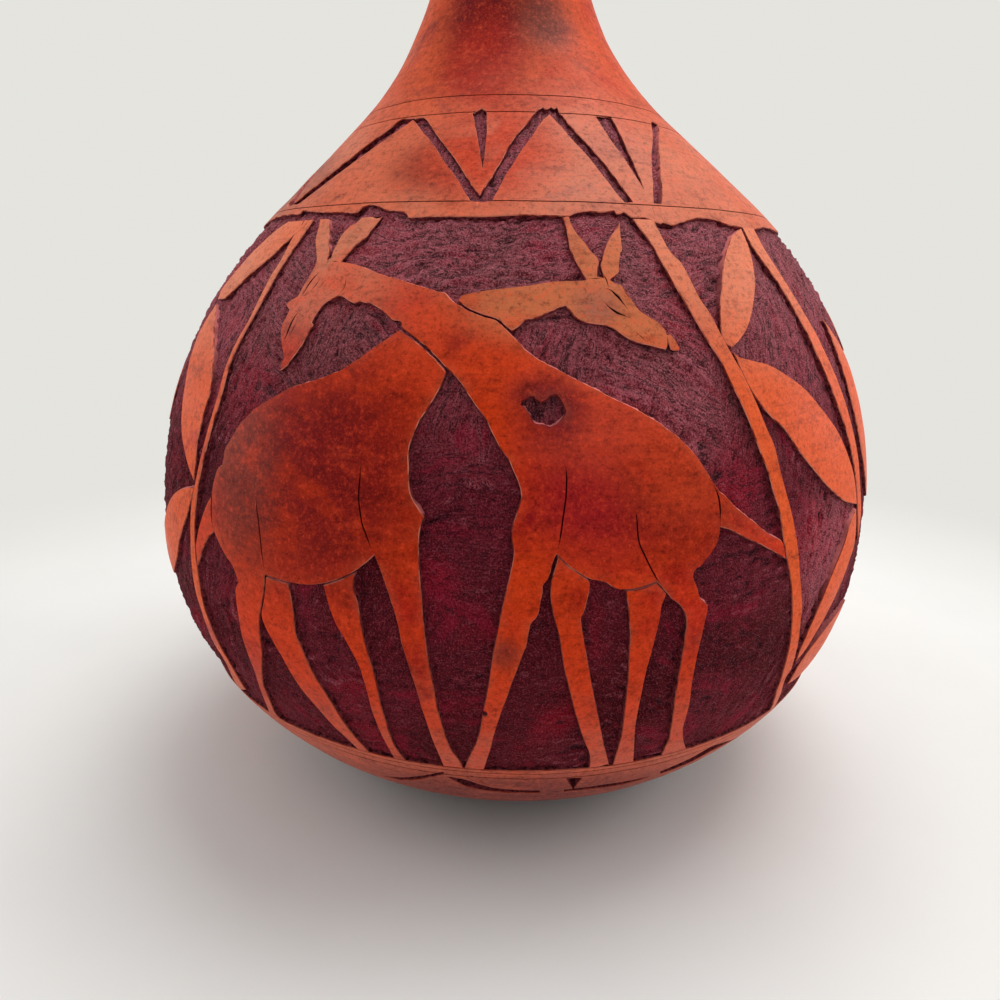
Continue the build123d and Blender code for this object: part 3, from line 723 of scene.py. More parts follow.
# %% Far legs of both giraffes
far_legs = [
    [(261.5, 618), (263.5, 598), (265.5, 577.5), (275, 580.5), (286.5, 583.5), (289, 590),
     (291, 602), (293, 615), (295.5, 635), (300, 645), (305, 657), (311, 670), (325, 693),
     (338, 714), (345, 725), (352, 734), (368, 752), (382, 768), (372, 766), (362, 754),
     (349, 741), (333, 726), (318, 709), (303, 692), (296, 682), (282, 658), (275, 646)],
    [(323, 585.5), (338, 581), (354, 573.5), (353, 583), (353, 590), (357, 602), (359, 614),
     (361, 628), (367, 652), (372, 668), (376, 683), (384, 716), (388, 730), (393, 743),
     (398, 752), (408, 764), (414, 772), (402, 771), (393, 757), (388, 748), (382, 737),
     (372, 712), (368, 697), (363, 680), (358, 665), (345, 641), (335, 624), (328, 605)],
    [(558.5, 557), (566, 564.5), (576, 572), (588, 580), (590, 586), (588, 597), (584, 612),
     (581, 619), (582, 627), (585, 645), (587, 657), (593, 690), (597, 710), (603, 740),
     (606, 752), (611, 774), (588, 775), (590, 757), (585, 743), (581, 732), (572, 700),
     (564, 667), (560, 640), (553.5, 615), (551, 600), (550.5, 590), (552, 580)],
    [(626, 591), (637, 590), (646, 587.5), (656.5, 583), (666.5, 594), (662, 606),
     (660.5, 617), (655, 641), (650, 660), (646, 675), (640, 703), (635, 733), (632, 770),
     (611, 771), (616, 755), (622, 733), (624, 717), (628, 683), (629.5, 650), (630.5, 640),
     (630, 628), (628, 604)],
]
far_leg_pieces = carve_figure("far_legs_of_both", [cut(leg) for leg in far_legs], [[]] * 4,
                              ["far_legs"])

# %% [markdown]
# ## The plants
# Tall stems rise from the ground line to the shoulder band on both sides of the giraffes,
# with pointed leaves. Two leaves turn past the edge of the view, and a plant between the
# front and the back scene is out of sight, so those are laid out by degrees round the gourd.

# %% Stems
side_stem = in_belt(hand_line(shares([
    (88.5, 1.02), (91.5, 0.75), (94.5, 0.40), (95.5, -0.02), (97.9, -0.02), (96.9, 0.40),
    (93.9, 0.75), (90.9, 1.02)])))
stems = [cut(edge) for edge in [
    [(633, 210), (633, 218), (646, 236), (652, 245), (665, 268), (672, 281), (687, 305),
     (694, 317), (708, 341), (720, 359), (730, 380), (740, 400), (750, 422), (760, 450),
     (768, 470), (774, 492), (780, 512), (784, 540), (788, 562), (790.5, 575), (792.5, 603),
     (792, 625), (788, 655), (781, 680), (775, 697), (767, 717), (777, 716), (782, 690),
     (786, 678), (792, 668), (797.5, 647), (801, 620), (802.5, 610), (801, 582), (798, 545),
     (793, 517), (786, 490), (781, 471), (775, 446), (768, 430), (757, 403), (745, 377),
     (734, 357), (724, 339), (710, 313), (698, 295), (682, 264), (670, 251), (657, 226),
     (650, 210)],
    [(738, 218), (748, 238), (762, 260), (778, 282), (793, 307), (806, 331), (817, 355),
     (829, 382), (839, 408), (847, 432), (853, 458), (857, 485), (858, 510), (858, 540),
     (861, 512), (860, 480), (858, 456), (853, 430), (847, 407), (839, 384), (829, 361),
     (820, 342), (804, 312), (790, 289), (775, 265), (762, 244), (748, 218)],
    [(320, 210), (312, 221), (300, 238), (288, 256), (277, 273), (264, 297), (251, 320),
     (239, 342), (229, 365), (221, 396), (212.5, 424), (205.5, 450), (200, 474), (197, 492),
     (194.5, 520), (195, 550), (198, 575), (206, 612), (217, 640), (232, 667), (246, 690),
     (238, 690), (228, 667), (214, 643), (203, 615), (196, 592), (191.5, 565), (190, 535),
     (191, 505), (195.5, 481), (202, 450), (209, 424), (217, 397), (225, 367), (235, 343),
     (247, 322), (257, 302), (271, 275), (281, 259), (293, 236), (304, 221), (311, 210)],
]]
stem_pieces = carve_figure("stems_of_plants", stems + [side_stem],
                           [[score([(652, 219.5), (656, 226), (660, 232)], 0.4)], [],
                            [score([(312, 214), (306, 223), (299, 234)], 0.35)], []],
                           ["plant_stems"], spacing=1.5)

# %% Leaves
leaves = [cut(edge) for edge in [
    [(741, 228), (734, 234), (730, 241), (724, 260), (722, 282), (720, 310), (722, 333),
     (726, 342), (732, 347.5), (740, 340), (746, 331), (750, 321), (754.5, 295), (755, 280),
     (750, 250)],
    [(734, 352), (740, 357), (752, 360), (770, 365), (788, 376), (806, 390), (822, 409),
     (838, 432), (848, 455), (855, 480), (857, 504), (845, 501), (830, 488), (814, 469),
     (799, 450), (785, 429), (771, 416), (758, 400), (746, 380)],
    [(856.5, 509), (851, 522), (844, 545), (835, 568), (825, 592), (811, 625), (801, 648),
     (796, 662), (806, 649), (816, 632), (827, 613), (838, 590), (848, 565), (855, 542)],
    [(308, 213.5), (300, 215), (283, 225), (268, 237), (250, 255), (236, 271), (222, 289),
     (218, 299), (226, 297), (243, 281), (257, 268), (270, 257), (289, 239), (299, 229)],
    [(216.5, 304), (208, 317), (199, 333), (190, 360), (182, 405), (181.5, 430), (186, 458),
     (193.5, 480), (195.5, 465), (196.5, 445), (203, 415), (210, 390), (212.5, 365),
     (213.5, 345), (214.5, 320)],
    [(194, 488), (189, 487.5), (177, 491), (168, 504), (164.5, 525), (168.5, 555), (174, 573),
     (177, 557), (180, 536), (187.5, 512)],
]]
round_leaves = [in_belt(hand_line(shares(places))) for places in [
    [(56.5, 0.82), (57.0, 0.72), (58.5, 0.58), (62.5, 0.44), (67.0, 0.57), (65.0, 0.71)],
    [(43.5, 0.085), (44.5, 0.15), (50, 0.20), (58, 0.215), (53.5, 0.12), (48, 0.085)],
    [(88.7, 0.93), (84.5, 0.83), (79, 0.765), (74, 0.74), (75.5, 0.82), (81.5, 0.895)],
    [(92.0, 0.60), (87, 0.50), (81, 0.43), (75, 0.40), (77.5, 0.48), (83.5, 0.57)],
    [(94.4, 0.78), (98, 0.68), (104, 0.60), (109.5, 0.565), (107.5, 0.65), (102, 0.75)],
    [(97.6, 0.42), (100, 0.33), (106, 0.25), (112, 0.22), (110.5, 0.30), (105, 0.39)],
    [(93.9, 0.32), (90, 0.22), (86, 0.17), (81, 0.15), (82.5, 0.22), (87.5, 0.29)],
]]
leaf_pieces = carve_figure("leaves_of_plants", leaves + round_leaves,
                           [[] for _ in leaves + round_leaves], ["plant_leaves"],
                           spacing=1.8)

# %% [markdown]
# ## Skin over the shoulder and the neck
# The band above the scene is bounded by scored rings. Between the second and the third ring
# the zigzag strips are cut through to the wood. Round the shoulder the sheet is a
# triangulated patch that goes all round, with its seam at the side. The neck above it has no
# carving, so it is a plain grid, bent to a round neck by the same chart.

# %% Shoulder band
SEAM = -math.pi / 2 * BELLY
ROUND = 2 * math.pi * BELLY
COLUMNS = 320
V_JOIN = length_at(172.0)
ragged_top = chart_of([
    (270, 220), (280, 216), (300, 213.5), (303, 210), (311, 211), (330, 212), (357, 212),
    (362, 207), (374, 204.5), (386, 210), (393, 210), (405, 212), (409, 217), (420, 216.5),
    (450, 216), (480, 216.5), (520, 215), (560, 216), (568, 216), (575, 213), (582, 211.5),
    (590, 211), (600, 212), (610, 211), (614, 210.5), (617, 214), (621, 213), (624, 211.5),
    (628, 214), (632, 217), (646, 218), (660, 223), (663, 222), (668, 223), (674, 225),
    (680, 222), (688, 220.5), (700, 217.5), (715, 219), (725, 223.5), (741, 227), (752, 229),
    (765, 227)])
ragged_top[:, 1] = np.minimum(ragged_top[:, 1], length_at(145.0))


def ragged_edge(first, last):
    """A slightly torn edge along the belt's top, between two chart places."""
    count = round((last[0] - first[0]) / 1.1)
    u = np.linspace(first[0], last[0], count + 1)[1:-1]
    shake = np.array([0.5 * noise.noise(Vector((x * 0.09, 3, 1)))
                      + 0.28 * noise.noise(Vector((x * 0.7, 8, 1))) for x in u])
    ease = np.clip(np.minimum(u - first[0], last[0] - u) / 6, 0, 1)
    level = np.interp(u, [first[0], first[0] + 8, last[0] - 8, last[0]],
                      [first[1], length_at(BELT_HIGH), length_at(BELT_HIGH), last[1]])
    return np.stack([u, level + shake * ease], 1)


seam_low = np.array([SEAM, length_at(BELT_HIGH)])
half_round = np.array([ROUND / 2, 0])
front_edge = hand_line(ragged_top, False, spacing=0.8, shake=0.08)
lower_edge = np.vstack([
    seam_low, ragged_edge(seam_low, front_edge[0]), front_edge,
    ragged_edge(front_edge[-1], front_edge[0] + half_round), front_edge + half_round,
    ragged_edge(front_edge[-1] + half_round, seam_low + (ROUND, 0)), seam_low + (ROUND, 0)])
seam_rows = np.linspace(seam_low[1], V_JOIN, 18)[1:-1]
upper_edge = np.stack([np.linspace(SEAM + ROUND, SEAM, COLUMNS + 1),
                       np.full(COLUMNS + 1, V_JOIN)], 1)
band_loop = np.vstack([
    lower_edge, np.stack([np.full(16, SEAM + ROUND), seam_rows], 1), upper_edge,
    np.stack([np.full(16, SEAM), seam_rows[::-1]], 1)])
strips = [
    [(413, 119), (425, 118), (436, 134), (447, 148), (458, 163), (470, 182), (480, 195),
     (488, 200.5), (472, 201), (467, 195), (457, 178), (445, 162), (433, 144), (422, 131)],
    [(472.5, 113), (475, 124), (478, 140), (481, 158), (482, 168), (483.5, 160), (485, 147),
     (486.5, 132), (486.5, 112), (482, 108)],
    [(536, 111), (528, 122), (518, 133), (509, 146), (501, 161), (492, 175), (482, 191),
     (476, 201), (484, 201.5), (492, 200), (500, 185), (505, 175), (513, 163), (521, 150),
     (531, 137), (540, 123), (548, 115), (556, 110), (551, 106.5), (546, 109), (543, 107)],
    [(547, 111), (561, 126), (575, 142), (589, 157), (603, 175), (616, 192), (625, 202),
     (633, 202), (620, 184), (608, 168), (597, 155), (583, 139), (569, 124), (560, 113), (557, 107), (552, 109)],
    [(595, 115), (603, 128), (613, 143), (623, 156), (633, 172), (641, 184), (644, 190),
     (641, 181), (636, 170), (630, 156), (624, 143), (618, 130), (611, 117)],
    [(651.5, 123), (652, 150), (652.5, 170), (653.5, 190), (654, 203), (662, 203.5),
     (661, 180), (660, 165), (658.5, 145), (657.5, 124)],
]


def straight_strip(first, last, width=3.4):
    """A straight cut down the shoulder between two places given as (degrees, height)."""
    heights = np.linspace(first[1], last[1], 12)
    reach = radius_at(heights)
    turned = np.concatenate([[0], np.cumsum(np.diff(length_at(heights)) / reach[1:])])
    degrees = first[0] + (last[0] - first[0]) * turned / turned[-1]
    middle = np.stack([np.radians(degrees) * BELLY, length_at(heights)], 1)
    half = np.stack([width * 0.5 / 0.83 * BELLY / reach, np.zeros(12)], 1)
    return np.vstack([middle - half, (middle + half)[::-1]])


# Toward the left edge the picture shows the strips too flat to trace, so two are drawn
# straight between their ends.
drawn = [straight_strip((-32.6, 163.8), (-53.6, 146.3)), straight_strip((-75.5, 163.6), (-57.0, 146.2))]
strip_holes = [hand_line(line, True, shake=0.14)
               for line in [chart_of(strip) for strip in strips] + drawn]
strip_holes += [hole + half_round for hole in strip_holes]


def ring(height, width=0.34, depth=0.3, wobble=0.25):
    """A line scored right round the gourd at one height."""
    u = np.linspace(SEAM + 0.4, SEAM + ROUND - 0.4, 560)
    ease = np.clip(np.minimum(u - SEAM, SEAM + ROUND - u) / 12, 0, 1)
    shake = np.array([noise.noise(Vector((x * 0.035, height, 2)))
                      + 0.25 * noise.noise(Vector((x * 0.4, height, 6))) for x in u])
    return np.stack([u, length_at(height) + wobble * shake * ease], 1), width, depth


print("zigzag strips on the band, front and back:", len(strip_holes))

# %% Shoulder and neck as one skin
band_scores = [ring(168.3), ring(164.2), ring(145.1, 0.32, 0.3, 0.2)]
side_slip = score([(673, 130), (700, 150), (740, 185), (748, 198)], 0.4)
band_scores += [side_slip, (side_slip[0] + half_round, *side_slip[1:])]
for slip in [[(652, 207), (654, 212), (655, 217)], [(636, 205), (638, 208), (641, 212)]]:
    line = score(slip, 0.35, 0.25)
    band_scores += [line, (line[0] + half_round, *line[1:])]
band = patch_mesh([band_loop], strip_holes, band_scores, 1.9)


def at_join(vert):
    return (abs(vert.co.y - V_JOIN) < 0.01 or abs(vert.co.x - SEAM) < 0.01
            or abs(vert.co.x - SEAM - ROUND) < 0.01)


add_walls(band, at_join)
neck_rows = 62
v_collar = along[-1] - 4.5
neck = bmesh.new()
for layer in ("groove", "rim"):
    neck.verts.layers.float.new(layer)
bmesh.ops.create_grid(neck, x_segments=COLUMNS, y_segments=neck_rows, size=0.5)
for vert in neck.verts:
    share_up = vert.co.y + 0.5
    vert.co = Vector((SEAM + (vert.co.x + 0.5) * ROUND, V_JOIN + share_up * (v_collar - V_JOIN), 0))
add_walls(neck, lambda vert: abs(vert.co.y - V_JOIN) < 0.01 or abs(vert.co.x - SEAM) < 0.01
          or abs(vert.co.x - SEAM - ROUND) < 0.01, inset=0)
join(band, neck)
lay_mesh(band)
bmesh.ops.remove_doubles(band, verts=band.verts[:], dist=2e-6)
print("open edges left on the neck skin:", sum(e.is_boundary for e in band.edges))
neck_skin = piece_from(band, "shoulder_and_neck_skin", ["neck_and_shoulder_skin"])

# %% [markdown]
# ## Skin under the scene
# Below the ground line the skin was left whole down to the foot. Two rings are scored in it,
# and long tapering nicks fall from the lower one, deep and dark at the front.

# %% Base skin
V_LINE = length_at(BELT_LOW)
V_BASE = length_at(14.0)
seam_top = np.array([SEAM, V_LINE])
base_u = np.linspace(SEAM, SEAM + ROUND, 620)
base_ease = np.clip(np.minimum(base_u - SEAM, SEAM + ROUND - base_u) / 12, 0, 1)
base_shake = np.array([0.16 * noise.noise(Vector((x * 0.06, 1, 4)))
                       + 0.1 * noise.noise(Vector((x * 0.6, 2, 4))) for x in base_u])
top_line = np.stack([base_u, V_LINE + base_shake * base_ease], 1)[::-1]
base_rows = np.linspace(V_BASE, V_LINE, 14)[1:-1]
base_loop = np.vstack([
    np.stack([np.linspace(SEAM, SEAM + ROUND, COLUMNS + 1), np.full(COLUMNS + 1, V_BASE)], 1),
    np.stack([np.full(12, SEAM + ROUND), base_rows], 1), top_line,
    np.stack([np.full(12, SEAM), base_rows[::-1]], 1)])
base_scores = [ring(32.7, 0.4, 0.35, 0.22), ring(34.7, 0.3, 0.25, 0.1)]
front_cuts = [
    score([(310, 743), (322, 751), (335, 759)], 0.6),
    score([(365, 758), (369, 763)], 0.35), score([(388, 764), (395, 766), (402, 769)], 0.4),
    score([(463, 773), (470, 776), (478, 778.5)], 0.5),
    score([(632, 775), (638, 774)], 0.5), score([(377, 765), (392, 770), (408, 773.5)], 0.35),
    score([(476, 779.5), (484, 783.5), (491, 785.5)], 0.35),
]
base_scores += front_cuts + [(line + half_round, width, deep) for line, width, deep in front_cuts]
nicks = [
    [(383, 776), (400, 777.5), (420, 776), (443, 772), (444, 774.5), (421, 779), (400, 780)],
    [(446, 776.5), (465, 780), (482, 785.5), (500, 789), (540, 790.5), (540, 792.8),
     (510, 792.8), (490, 791.5), (475, 789), (460, 784)],
    [(740, 736.5), (715, 745.5), (690, 759), (660, 772), (661, 774.5), (690, 763), (714, 750),
     (739, 739.5)],
    [(652, 776), (630, 780.5), (600, 785), (564, 789.5), (564, 791.5), (600, 788), (630, 783)],
    [(566, 778.5), (582, 777.5), (577, 784), (573, 790), (570, 784)],
]
base_holes = [hand_line(chart_of(nick), True, spacing=0.5, shake=0.06) for nick in nicks]
base_holes += [hole + half_round for hole in base_holes]
print("nicks under the ground line:", len(base_holes))
base = patch_mesh([base_loop], base_holes, base_scores, 1.9)
add_walls(base, lambda vert: abs(vert.co.y - V_BASE) < 0.01 or abs(vert.co.x - SEAM) < 0.01
          or abs(vert.co.x - SEAM - ROUND) < 0.01, slope=0)
foot = bmesh.new()
for layer in ("groove", "rim"):
    foot.verts.layers.float.new(layer)
bmesh.ops.create_grid(foot, x_segments=COLUMNS, y_segments=24, size=0.5)
for vert in foot.verts:
    vert.co = Vector((SEAM + (vert.co.x + 0.5) * ROUND, (vert.co.y + 0.5) * V_BASE, 0))
add_walls(foot, lambda vert: True, inset=0)
join(base, foot)
lay_mesh(base)
bmesh.ops.remove_doubles(base, verts=base.verts[:], dist=2e-6)
print("open edges left on the base skin:", sum(e.is_boundary for e in base.edges))
base_piece = piece_from(base, "skin_under_the_scene", ["base_skin"])

# %% [markdown]
# ## The dried stem
# A gourd's stem dries hard, with five blunt ridges that twist a little, a flared root that
# grips the neck's dome and a cut end that has shrunk to a dimple. It is a grid wrapped into a
# tube: each row takes its height and radius from the stem's outline, and the ridges swell
# each point's radius. The picture cuts the neck off, so this piece is made from knowledge.

# %% Dried stem
stem_outline = np.array([
    (258.5, 0), (258.5, 5.2), (259.6, 6.1), (261.6, 6.3), (262.6, 5.9), (263.3, 5.1), (264.2, 4.3),
    (265.4, 3.7), (266.8, 3.35), (268.2, 3.3), (269.5, 3.45), (270.4, 3.5), (270.8, 3.1),
    (270.6, 2.3), (270.1, 1.4), (269.8, 0.6), (269.7, 0)])
stem_reach = np.concatenate([[0], np.cumsum(np.hypot(*np.diff(stem_outline, axis=0).T))])
dry_stem = bmesh.new()
bmesh.ops.create_grid(dry_stem, x_segments=120, y_segments=90, size=0.5)
for vert in dry_stem.verts:
    reach = (vert.co.y + 0.5) * stem_reach[-1]
    height, wide = (np.interp(reach, stem_reach, stem_outline[:, side]) for side in (0, 1))
    turn = 2 * math.pi * (vert.co.x + 0.5)
    grown = min(1, max(0, (height - 261) / 4))
    ridged = 0.085 * grown * math.cos(5 * turn + 0.16 * (height - 260))
    around = Vector((math.sin(turn), math.cos(turn), height * 0.05))
    ridged += 0.05 * noise.noise(around * 4) + 0.012 * math.cos(31 * turn + 3 * noise.noise(around * 2))
    wide = min(6.35, wide * (1 + ridged))
    lean = 0.035 * max(0, height - 262)
    vert.co = Vector((wide * math.sin(turn) + lean, -wide * math.cos(turn), height)) * MM
bmesh.ops.remove_doubles(dry_stem, verts=dry_stem.verts[:], dist=1e-6)
print("open edges left on the stem:", sum(e.is_boundary for e in dry_stem.edges))
stem_piece = piece_from(dry_stem, "twisted_dried_stem", ["dried_stem"])

# %% [markdown]
# ## The carved wood
# Where the skin is gone, the gouge has left short ripples in the wood, torn across the grain
# and running a different way in each field. A sculpted ripple catches the light better than
# a bump map here, because the strokes are a millimetre wide and the picture is close. The
# wood is two grids bent round the gourd, fine in the belt and coarse where skin hides them.
# The inside wall is another, plain grid, because the gourd is hollow.

# %% Gouge marks
def hump(gap, reach):
    return math.exp(-(gap / reach) ** 2)


def gouge(u, v):
    """Height of the torn wood at a chart place in mm, and the place along its strokes."""
    turn = u / BELLY
    around = Vector((70 * math.sin(turn), 70 * math.cos(turn), v))
    side = (u + ROUND / 4) % (ROUND / 2) - ROUND / 4
    field = [noise.noise(around * 0.03 + Vector((shift, 0, 0))) for shift in (0, 31, 67)]
    field[0] += 0.6 * min(1, max(0, (v - UPPER_WOOD) / 8))
    field[1] += 0.6 * hump(side - 24, 20) * hump(v - UPPER_WOOD + 12, 16)
    field[1] += 0.7 * hump(side + 24, 12) * hump(v - UPPER_WOOD + 6, 12)
    field[2] += 0.6 * min(1, max(0, (abs(side) - 58) / 10))
    strongest = max(field)
    weights = [math.exp(12 * (value - strongest)) for value in field]
    height, total, along_stroke = 0.0, sum(weights), None
    for value, weight, lean in zip(field, weights, (0.05, -0.55, 1.3)):
        if weight < 0.05:
            continue
        stroke = u * math.cos(lean) + v * math.sin(lean)
        cross = v * math.cos(lean) - u * math.sin(lean)
        cross += 2.6 * noise.noise(Vector((stroke * 0.07, cross * 0.1, lean * 9)))
        cross += 0.5 * noise.noise(Vector((stroke * 0.3, cross * 0.3, lean * 9)))
        step = (0.42 * cross + 1.1 * noise.noise(Vector((stroke * 0.05, cross * 0.2, lean * 5)))) % 1
        ledge = step if step < 0.8 else 4 * (1 - step)
        fibre = noise.noise(Vector((stroke * 0.3, cross * 0.9, lean * 7)))
        height += weight * (0.62 * (ledge - 0.4) + 0.5 * fibre)
        if value == strongest:
            along_stroke = Vector((stroke, cross, lean * 20))
    height /= total
    calm = min(1.1, max(0.5, 0.6 + 1.8 * noise.noise(around * 0.045 + Vector((9, 9, 9)))
                      + 0.5 * min(1, max(0, (v - UPPER_WOOD) / 8))))
    height *= calm * (1 - 0.6 * hump(side + 4, 14) * hump(v - UPPER_WOOD + 60, 45))
    height += 0.34 * noise.noise(around * 0.85) + 0.2 * noise.noise(around * 0.1)
    return height, along_stroke


UPPER_WOOD = length_at(122)
print("gouge heights:", [round(gouge(x, 60.0)[0], 2) for x in (0, 3, 9, 30)])

# %% Carved wood
V_TOP = along[-1]
GROUND = 0.85  # the carved wood lies a little under the skin it was freed from
wood_rows = np.concatenate([
    np.linspace(0, length_at(31), 10)[:-1], np.linspace(length_at(31), length_at(146), 186)[:-1],
    np.linspace(length_at(146), length_at(169), 24)[:-1], np.linspace(length_at(169), V_TOP, 8)])
wood_columns = 420
belt_floor, belt_roof = length_at(32), length_at(168)


def half_wood(name, first_u, nodes):
    """Half of the carved wood, from one side of the gourd to the other."""
    wood = bmesh.new()
    ridge_mark = wood.verts.layers.float.new("ridge")
    stroke_mark = wood.verts.layers.float_vector.new("stroke")
    bmesh.ops.create_grid(wood, x_segments=wood_columns, y_segments=len(wood_rows) - 1, size=0.5)
    flat = []
    for vert in wood.verts:
        u = first_u + (vert.co.x + 0.5) * ROUND / 2
        v = wood_rows[round((vert.co.y + 0.5) * (len(wood_rows) - 1))]
        rise, vert[stroke_mark] = gouge(u, v)
        if not belt_floor < v < belt_roof:
            rise = GROUND - CARVE
        vert[ridge_mark] = 0.5 + rise
        flat.append((u, v, max(0.3, GROUND - rise)))
    flat = np.array(flat)
    for vert, spot in zip(wood.verts, on_skin(flat[:, :2], flat[:, 2])):
        vert.co = Vector(spot * MM)
    bmesh.ops.remove_doubles(wood, verts=wood.verts[:], dist=1e-6)
    return wood


front_wood = half_wood("carved_wood_front", SEAM, ["woody_rind"])
front_wood_piece = piece_from(front_wood, "carved_wood_front", ["woody_rind"])
back_wood = half_wood("carved_wood_back", SEAM + ROUND / 2, ["woody_rind"])
back_wood_piece = piece_from(back_wood, "carved_wood_back", ["woody_rind"])

# %% Inside wall
inner = bmesh.new()
bmesh.ops.create_grid(inner, x_segments=96, y_segments=60, size=0.5)
for vert in inner.verts:
    v = 2 + (vert.co.y + 0.5) * (V_TOP - 6)
    spot = on_skin([[SEAM + (vert.co.x + 0.5) * ROUND, v]], 5.6)[0]
    vert.co = Vector(spot * MM)
bmesh.ops.remove_doubles(inner, verts=inner.verts[:], dist=1e-6)
bmesh.ops.recalc_face_normals(inner, faces=inner.faces[:])
bmesh.ops.reverse_faces(inner, faces=inner.faces[:])
inner_piece = piece_from(inner, "hollow_inside", ["woody_rind"])

# %% [markdown]
# ## Finishes
# Every finish is built from a few layers of noise in Object coordinates, at sizes measured in
# millimetres on the gourd, so that nothing slides when the view or the pose changes. The
# helpers below keep the node code short: `add` makes one node and wires its inputs, `cloud`
# gives one layer of noise, `steps` cuts a soft mask from it and `blend` mixes two colours.

# %% Node helpers
def dye(red, green, blue):
    """A colour as a paint chart gives it (0 to 255), turned into Blender's linear values."""
    return tuple(((c / 255 + 0.055) / 1.055) ** 2.4 if c > 10 else c / 3294.6
                 for c in (red, green, blue)) + (1,)


class Finish:
    """A material under construction: its node tree and its shader."""

    def __init__(self, name, roughness=0.5, coat=0.0):
        self.material = bpy.data.materials.new(name)
        self.material.use_nodes = True
        self.tree = self.material.node_tree
        self.shader = self.tree.nodes["Principled BSDF"]
        self.shader.inputs["Roughness"].default_value = roughness
        self.shader.inputs["Coat Weight"].default_value = coat
        self.place = self.add("ShaderNodeTexCoord").outputs["Object"]

    def add(self, kind, inputs=None, **settings):
        node = self.tree.nodes.new(kind)
        for key, value in settings.items():
            setattr(node, key, value)
        for key, value in (inputs or {}).items():
            if isinstance(value, bpy.types.NodeSocket):
                self.tree.links.new(value, node.inputs[key])
            else:
                node.inputs[key].default_value = value
        return node

    def cloud(self, size, detail=3, stretch=(1, 1, 1), roughness=0.55, shift=0, twist=0, on=None):
        """Noise whose features are about `size` millimetres across."""
        scale = [(1 if on else 1000) / size / s for s in stretch]
        place = self.add("ShaderNodeMapping", {0: on or self.place, "Scale": scale,
                                               "Location": (shift, shift * 0.7, shift * 1.3)})
        return self.add("ShaderNodeTexNoise", {
            "Vector": place.outputs[0], "Scale": 1, "Detail": detail, "Roughness": roughness,
            "Distortion": twist}).outputs["Fac"]

    def steps(self, value, low, high, first=0.0, last=1.0):
        return self.add("ShaderNodeMapRange", {
            "Value": value, "From Min": low, "From Max": high, "To Min": first, "To Max": last},
            interpolation_type="SMOOTHSTEP").outputs[0]

    def sums(self, kind, first, second=0.0):
        return self.add("ShaderNodeMath", {0: first, 1: second}, operation=kind).outputs[0]

    def blend(self, factor, first, second, kind="MIX"):
        return self.add("ShaderNodeMix", {0: factor, 6: first, 7: second}, data_type="RGBA",
                        blend_type=kind).outputs[2]

    def mark(self, name):
        """A mark that the mesh carries on its points."""
        return self.add("ShaderNodeAttribute", attribute_name=name).outputs["Fac"]

    def spot(self, centre, reach, soft=0.5):
        """A soft blotch round a place on the gourd, both in millimetres."""
        near = self.add("ShaderNodeVectorMath", {0: self.place, 1: Vector(centre) * MM},
                        operation="SUBTRACT").outputs[0]
        near = self.add("ShaderNodeVectorMath", {0: near, 1: [1000 / r for r in reach]},
                        operation="MULTIPLY").outputs[0]
        gap = self.add("ShaderNodeVectorMath", {0: near}, operation="LENGTH").outputs[1]
        return self.steps(gap, 1 + soft, 1 - soft)

    def bump(self, height, strength, distance):
        """Relief in the shading, distance in millimetres."""
        node = self.add("ShaderNodeBump", {
            "Height": height, "Strength": strength, "Distance": distance * MM})
        if self.shader.inputs["Normal"].is_linked:
            self.tree.links.new(self.shader.inputs["Normal"].links[0].from_socket,
                                node.inputs["Normal"])
        self.tree.links.new(node.outputs[0], self.shader.inputs["Normal"])

    def paint(self, colour):
        self.tree.links.new(colour, self.shader.inputs["Base Color"])

    def gloss(self, value):
        self.tree.links.new(value, self.shader.inputs["Roughness"])


print("leather orange in linear values:", [round(c, 3) for c in dye(200, 78, 38)])
